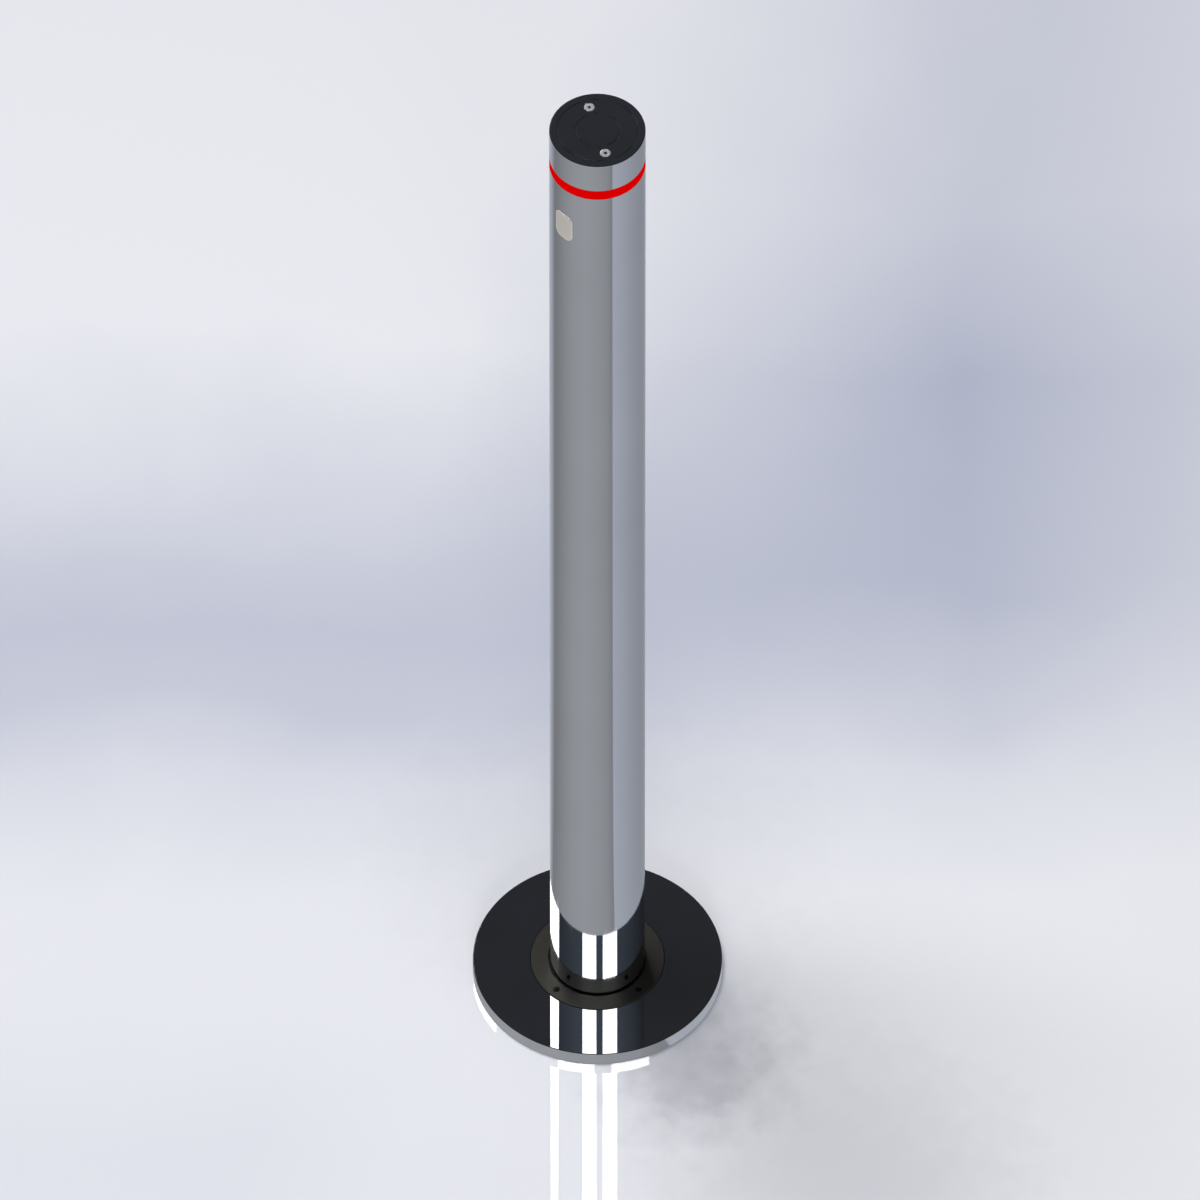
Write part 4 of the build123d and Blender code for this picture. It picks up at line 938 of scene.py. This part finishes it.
# %% Post
pane_gap, joint_edge, carriage_screw_level = 0.1 * MM, 0.03 * MM, 11 * MM
post = ring_section(post_bore, post_radius, tube_low.z, tube_high.z)
ease(post, joint_edge, (post_radius, tube_high.z), (post_radius, tube_low.z))
spun(post, 256)
opening = prism(
    window_width + 2 * pane_gap, window_height + 2 * pane_gap, window_corner + pane_gap,
    window_level, -post_radius - past, 0,
)
post = cut(post, opening)
carriage_places = outward_places(post_radius, tube_low.z + carriage_screw_level, 3, 90)
post = cut(post, copies(sunk_cutter(M5, 6 * MM), carriage_places))
round_normals(finished(post, "post_shell", "post", ["post_tube"], "polished_steel"), post_radius)
carriage_bolts = copies(sunk_screw(M5, 12 * MM), carriage_places)
finished(carriage_bolts, "carriage_bolts", "post", ["carriage_screws"], "bright_screws")

# %% [markdown]
# The pane is a piece of a slightly wider tube, cut out by the same rounded prism. Its outer edges
# get a small bevel, and a wider lip behind the wall holds it in.

# %% Pane
pane_proud, lip_wide, pane_back, tube_half = 0.3 * MM, 2.5 * MM, post_bore - 2.4 * MM, 20 * MM


def arc_plate(outer, width, height, corner):
    """A curved plate: the part of a tube that a rounded prism holds."""
    low, high = window_level - tube_half, window_level + tube_half
    shell = spun(ring_section(pane_back, outer, low, high), 512)
    front = prism(width, height, corner, window_level, -outer - past, 0)
    return cut(shell, front, "INTERSECT")


pane = arc_plate(post_radius + pane_proud, window_width, window_height, window_corner)
rim_edges = [
    edge for edge in pane.edges
    if all(vert.co.xy.length > post_radius for vert in edge.verts)
    and edge.calc_face_angle(0) > SHARP
]
bevel(pane, rim_edges, 0.28 * MM, 3, "EDGES")
lip = arc_plate(
    post_bore - pane_gap, window_width + 2 * lip_wide, window_height + 2 * lip_wide,
    window_corner + lip_wide,
)
pane = cut(pane, lip, "UNION")
finished(pane, "pane", "post", ["reader_window"], "reader_pane")

# %% [markdown]
# Ring, sleeve and cap close the post. The ring is flush with the steel, and small rounded edges
# leave a hair-thin dark line where two pieces meet.

# %% Light ring and sleeve
ring_thick = 4 * MM
for name, node, slot, inner, low, high in (
    ("light_band", "light_ring", "red_lens", post_radius - ring_thick, ring_low.z, ring_high.z),
    ("sleeve", "head_sleeve", "polished_steel", post_bore, sleeve_low.z, sleeve_high.z),
):
    band_shape = ring_section(inner, post_radius, low, high)
    ease(band_shape, joint_edge, (post_radius, low), (post_radius, high))
    piece = finished(spun(band_shape, 256), name, "post", [node], slot)
    round_normals(piece, post_radius)

# %% [markdown]
# The cap is turned too: its outline goes round the groove for the seal ring and round two fine
# grooves in its top. Two countersunk screws hold it.

# %% Cap
groove_wide, groove_deep, cap_screw_circle = 0.7 * MM, 0.4 * MM, 24.5 * MM
spigot = post_bore - pane_gap
seal_groove, seal_half = spigot - 2 * MM, 1 * MM
seal_level = (cap_low.z + sleeve_high.z) / 2
cap_points = [
    (0, cap_low.z), (spigot, cap_low.z), (spigot, seal_level - seal_half),
    (seal_groove, seal_level - seal_half), (seal_groove, seal_level + seal_half),
    (spigot, seal_level + seal_half), (spigot, sleeve_high.z), (post_radius, sleeve_high.z),
    (post_radius, cap_high.z - edge), (post_radius - edge, cap_high.z),
]
groove_corners = []
for middle in groove_middles:
    outer, inner = middle + groove_wide / 2, middle - groove_wide / 2
    groove_corners += [(outer, cap_high.z), (inner, cap_high.z)]
    cap_points += [
        (outer, cap_high.z), (outer, cap_high.z - groove_deep),
        (inner, cap_high.z - groove_deep), (inner, cap_high.z),
    ]
cap = outline(*cap_points, (0, cap_high.z))
ease(cap, 0.04 * MM, *groove_corners)
ease(cap, 0.15 * MM, (post_radius, cap_high.z - edge), (post_radius - edge, cap_high.z))
spun(cap)
cap_places = ring_places(cap_screw_circle, cap_high.z, 2, 150)
cap = cut(cap, copies(sunk_cutter(M4, 14 * MM), cap_places))
finished(cap, "cap", "post", ["top_cap"], "black_gloss")
cap_bolts = copies(sunk_screw(M4, 18 * MM), cap_places)
finished(cap_bolts, "cap_bolts", "post", ["cap_screws"], "bright_screws")

# %% [markdown]
# The lifting screw is where the drive becomes motion, so it gets its real thread: four starts, a
# lead of 20 mm, right-handed. A lobed outline is lifted as it spins, which is all that a thread
# is. The journals at its ends are turned and joined to it.

# %% Lifting screw
screw_low, screw_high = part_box("lifting_screw")
thread_foot, thread_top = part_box("drive_plate")[1].z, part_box("screw_steady")[0].z
screw_radius, root_radius, starts, lead, around = 10 * MM, 8.1 * MM, 4, 20 * MM, 32
crest, steps_per_turn, overlap = 0.56, 20, 0.5 * MM
turns = (thread_top - thread_foot) / lead
profile = bmesh.new()
bmesh.ops.create_circle(profile, cap_ends=False, segments=around, radius=screw_radius)
for vert in profile.verts:
    phase = (atan2(vert.co.y, vert.co.x) * starts / (2 * pi)) % 1
    if phase > crest:
        vert.co *= root_radius / screw_radius
bmesh.ops.translate(profile, verts=profile.verts, vec=(0, 0, thread_foot))
steps = round(turns * steps_per_turn)
first = profile.edges[:]
spun_thread = bmesh.ops.spin(
    profile, geom=profile.verts[:] + first, cent=(0, 0, 0), axis=(0, 0, 1),
    dvec=(0, 0, (thread_top - thread_foot) / steps), angle=2 * pi * turns, steps=steps,
    use_merge=False, use_duplicate=False,
)
last = [item for item in spun_thread["geom_last"] if isinstance(item, bmesh.types.BMEdge)]
for ends in (first, last):
    bmesh.ops.contextual_create(profile, geom=ends)
bmesh.ops.recalc_face_normals(profile, faces=profile.faces)
journal, shaft, stub, clip_groove = 8.5 * MM, 6 * MM, 6 * MM, 5.2 * MM
locknut_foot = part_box("screw_locknut")[0].z
steady_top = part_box("screw_steady")[1].z
clip_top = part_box("steady_clip")[1].z
ends = outline(
    (0, screw_low.z), (shaft, screw_low.z), (shaft, locknut_foot), (journal, locknut_foot),
    (journal, thread_foot + overlap), (0, thread_foot + overlap),
)
spun(ends, 64)
top_end = outline(
    (0, thread_top - overlap), (stub, thread_top - overlap), (stub, steady_top),
    (clip_groove, steady_top), (clip_groove, clip_top), (stub, clip_top),
    (stub, screw_high.z), (0, screw_high.z),
)
spun(top_end, 64)
threaded = cut(cut(profile, ends, "UNION"), top_end, "UNION")
finished(threaded, "threaded_screw", "screw", ["lifting_screw"], "ground_steel")

# %% [markdown]
# The casing is a plain galvanised tube in the ground, but it is the largest piece of all, so it is
# turned finely too. Its base plate is welded in with a round bead, and the drain spigot's end is
# chamfered for its pipe.

# %% Casing
casing_low, casing_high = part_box("casing_tube")
base_low, base_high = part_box("casing_base")
casing_radius = casing_high.x
casing_bore = casing_radius - 4 * MM
head_screw_level, cable_bore = -35 * MM, 10 * MM
casing = spun(ring_section(casing_bore, casing_radius, casing_low.z, casing_high.z))
cable_level = (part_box("cable_boss")[0].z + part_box("cable_boss")[1].z) / 2
to_the_cable = Matrix.Translation((0, 0, cable_level)) @ Matrix.Rotation(radians(-90), 4, "X")
casing = cut(casing, cylinder(cable_bore, 0, casing_radius + past, to_the_cable))
head_places = outward_places(casing_radius, head_screw_level, 3, 90)
casing = cut(casing, copies(sunk_cutter(M5, 6 * MM), head_places))
piece = finished(casing, "casing_shell", "casing", ["casing_tube"], "zinc_steel")
round_normals(piece, casing_radius)
head_bolts = copies(sunk_screw(M5, 14 * MM), head_places)
finished(head_bolts, "head_bolts", "casing", ["head_screws"], "bright_screws")
plate_thick, drain, drain_bore, bead = 8 * MM, 20 * MM, 17 * MM, 1.6 * MM
plate_foot = casing_low.z - plate_thick
base = outline(
    (casing_radius, base_high.z), (casing_radius, plate_foot), (drain + bead, plate_foot),
    (drain, plate_foot - bead), (drain, base_low.z), (drain_bore, base_low.z),
    (drain_bore, base_high.z),
)
ease(base, 1 * MM, (casing_radius, plate_foot), (drain, base_low.z))
ease(base, 0.6 * MM, (drain + bead, plate_foot), (drain, plate_foot - bead))
finished(spun(base), "casing_foot", "casing", ["casing_base"], "zinc_steel")

# %% [markdown]
# Four bent straps hold the casing in the concrete. Each is one outline with a round bend, drawn
# out to the strap's width, and a rippled bead of weld runs up both of its sides.

# %% Anchor lugs
strap_thick, strap_width, strap_leg, strap_reach = 6 * MM, 40 * MM, 60 * MM, 50 * MM
strap_back, strap_bend = -3.8 * MM, 4 * MM
strap = outline(
    (strap_back, strap_leg), (strap_thick, strap_leg), (strap_thick, strap_thick),
    (strap_reach, strap_thick), (strap_reach, 0), (strap_back, 0),
)
ease(strap, strap_bend, (strap_thick, strap_thick), segments=8)
ease(strap, 1 * MM, (strap_thick, strap_leg), (strap_reach, strap_thick), (strap_reach, 0))
extruded(strap, -strap_width / 2, strap_width / 2)
side_edges = [
    edge for edge in strap.edges
    if abs(edge.verts[0].co.y + edge.verts[1].co.y) > 0.99 * strap_width
]
bevel(strap, side_edges, 0.7 * MM, 2, "EDGES")
ripples = [((2.5 if i % 2 else 2.1) * MM, (3 + i) * MM) for i in range(55)]
weld = spun(outline((0, 2 * MM), *ripples, (0, 58 * MM)), 16)
beside = (casing_radius**2 - strap_width**2 / 4) ** 0.5 - casing_radius
welds = copies(weld, [
    Matrix.Translation((beside, side * strap_width / 2, 0)) for side in (-1, 1)
])
strap_foot = Matrix.Translation((casing_radius, 0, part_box("anchor_lugs")[0].z))
straps = copies(
    joined(strap, welds),
    [Matrix.Rotation(angle, 4, "Z") @ strap_foot for angle in equal_angles(4, 45)],
)
finished(straps, "straps", "casing", ["anchor_lugs"], "zinc_steel")

# %% [markdown]
# The cable comes in at the back through a gland: a body with a chamfered hexagon and a dome nut
# that squeezes a rubber insert. A chamfered hexagon is what a turned shape and a prism share.

# %% Cable entry
boss_end, neck_end, nut_end = (
    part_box(node)[1].y for node in ("cable_boss", "cable_gland", "gland_nut")
)
boss_foot, hex_end, wire = casing_radius - 3 * MM, boss_end + 7 * MM, 5 * MM
boss_radius, neck, pocket = 16 * MM, 8.5 * MM, 7 * MM


def hexagon(across, corner, foot, top):
    """A hexagon with chamfered ends, standing on its axis."""
    reach = across / 2 / cos(radians(30))
    turned = outline(
        (0, foot), (reach - corner, foot), (reach, foot + corner / 2),
        (reach, top - corner / 2), (reach - corner, top), (0, top),
    )
    flats = cylinder(reach, foot, top, Matrix.Rotation(radians(30), 4, "Z"), sides=6)
    return cut(flats, spun(turned, 96), "INTERSECT")


boss = outline(
    (cable_bore, boss_foot), (boss_radius, boss_foot), (boss_radius, boss_end - MM),
    (boss_radius - MM, boss_end), (cable_bore, boss_end),
)
bead_inner, bead_outer, bead_top = boss_radius - 2 * MM, boss_radius + 2 * MM, casing_radius + MM
bead_corners = [
    (bead_inner, boss_foot), (bead_outer, boss_foot), (bead_outer, bead_top), (bead_inner, bead_top)
]
boss_weld = ease(outline(*bead_corners), 1.5 * MM, *bead_corners)
boss = copies(joined(spun(boss, 64), spun(boss_weld, 64)), [to_the_cable])
finished(boss, "entry_boss", "casing", ["cable_boss"], "zinc_steel")
gland_foot, thread = casing_radius + 1.5 * MM, cable_bore - thread_gap
pocket_foot = neck_end - 6 * MM
core = spun(outline(
    (0, gland_foot), (thread, gland_foot), (thread, boss_end + MM), (neck, boss_end + MM),
    (neck, neck_end), (0, neck_end),
), 64)
way = spun(outline(
    (0, gland_foot - MM), (wire, gland_foot - MM), (wire, pocket_foot),
    (pocket, pocket_foot), (pocket, neck_end + MM), (0, neck_end + MM),
), 64)
gland = cut(cut(hexagon(24 * MM, 1.2 * MM, boss_end, hex_end), core, "UNION"), way)
gland = copies(gland, [to_the_cable])
finished(gland, "gland_body", "casing", ["cable_gland"], "nickel_brass")
dome_foot, dome_outer = nut_end - 4 * MM, 13 * MM
dome_points = [(11.6 * MM, dome_foot), (8 * MM, nut_end)]
dome = outline(
    (0, hex_end - MM), (dome_outer, hex_end - MM), (dome_outer, dome_foot),
    *dome_points, (0, nut_end),
)
ease(dome, 2 * MM, *dome_points, segments=6)
nut = cut(hexagon(22 * MM, 0.8 * MM, hex_end, nut_end + 2 * MM), spun(dome, 96), "INTERSECT")
socket = spun(outline(
    (0, hex_end - MM), (neck + thread_gap, hex_end - MM), (neck + thread_gap, neck_end),
    (wire, neck_end), (wire, nut_end + MM), (0, nut_end + MM),
), 64)
nut = copies(cut(nut, socket), [to_the_cable])
finished(nut, "dome_nut", "casing", ["gland_nut"], "nickel_brass")

# %% [markdown]
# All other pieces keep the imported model's shapes. Their faces are loose triangles, so they are
# made smooth, welded by a modifier and split again where an edge is sharp. Each takes the finish
# of its slot in the record.

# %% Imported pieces
for entry in frame["record"]["subparts"]:
    thing = frame["nodes"][entry["node"]]
    thing.data.materials.clear()
    thing.data.materials.append(finishes[entry["material_slot"]])
    thing.data.polygons.foreach_set("use_smooth", [True] * len(thing.data.polygons))
    weld = thing.modifiers.new("weld", "WELD")
    weld.merge_threshold = MERGE
    split = thing.modifiers.new("sharp edges", "EDGE_SPLIT")
    split.split_angle = radians(35)
print("packed pieces", len(frame["nodes"]))
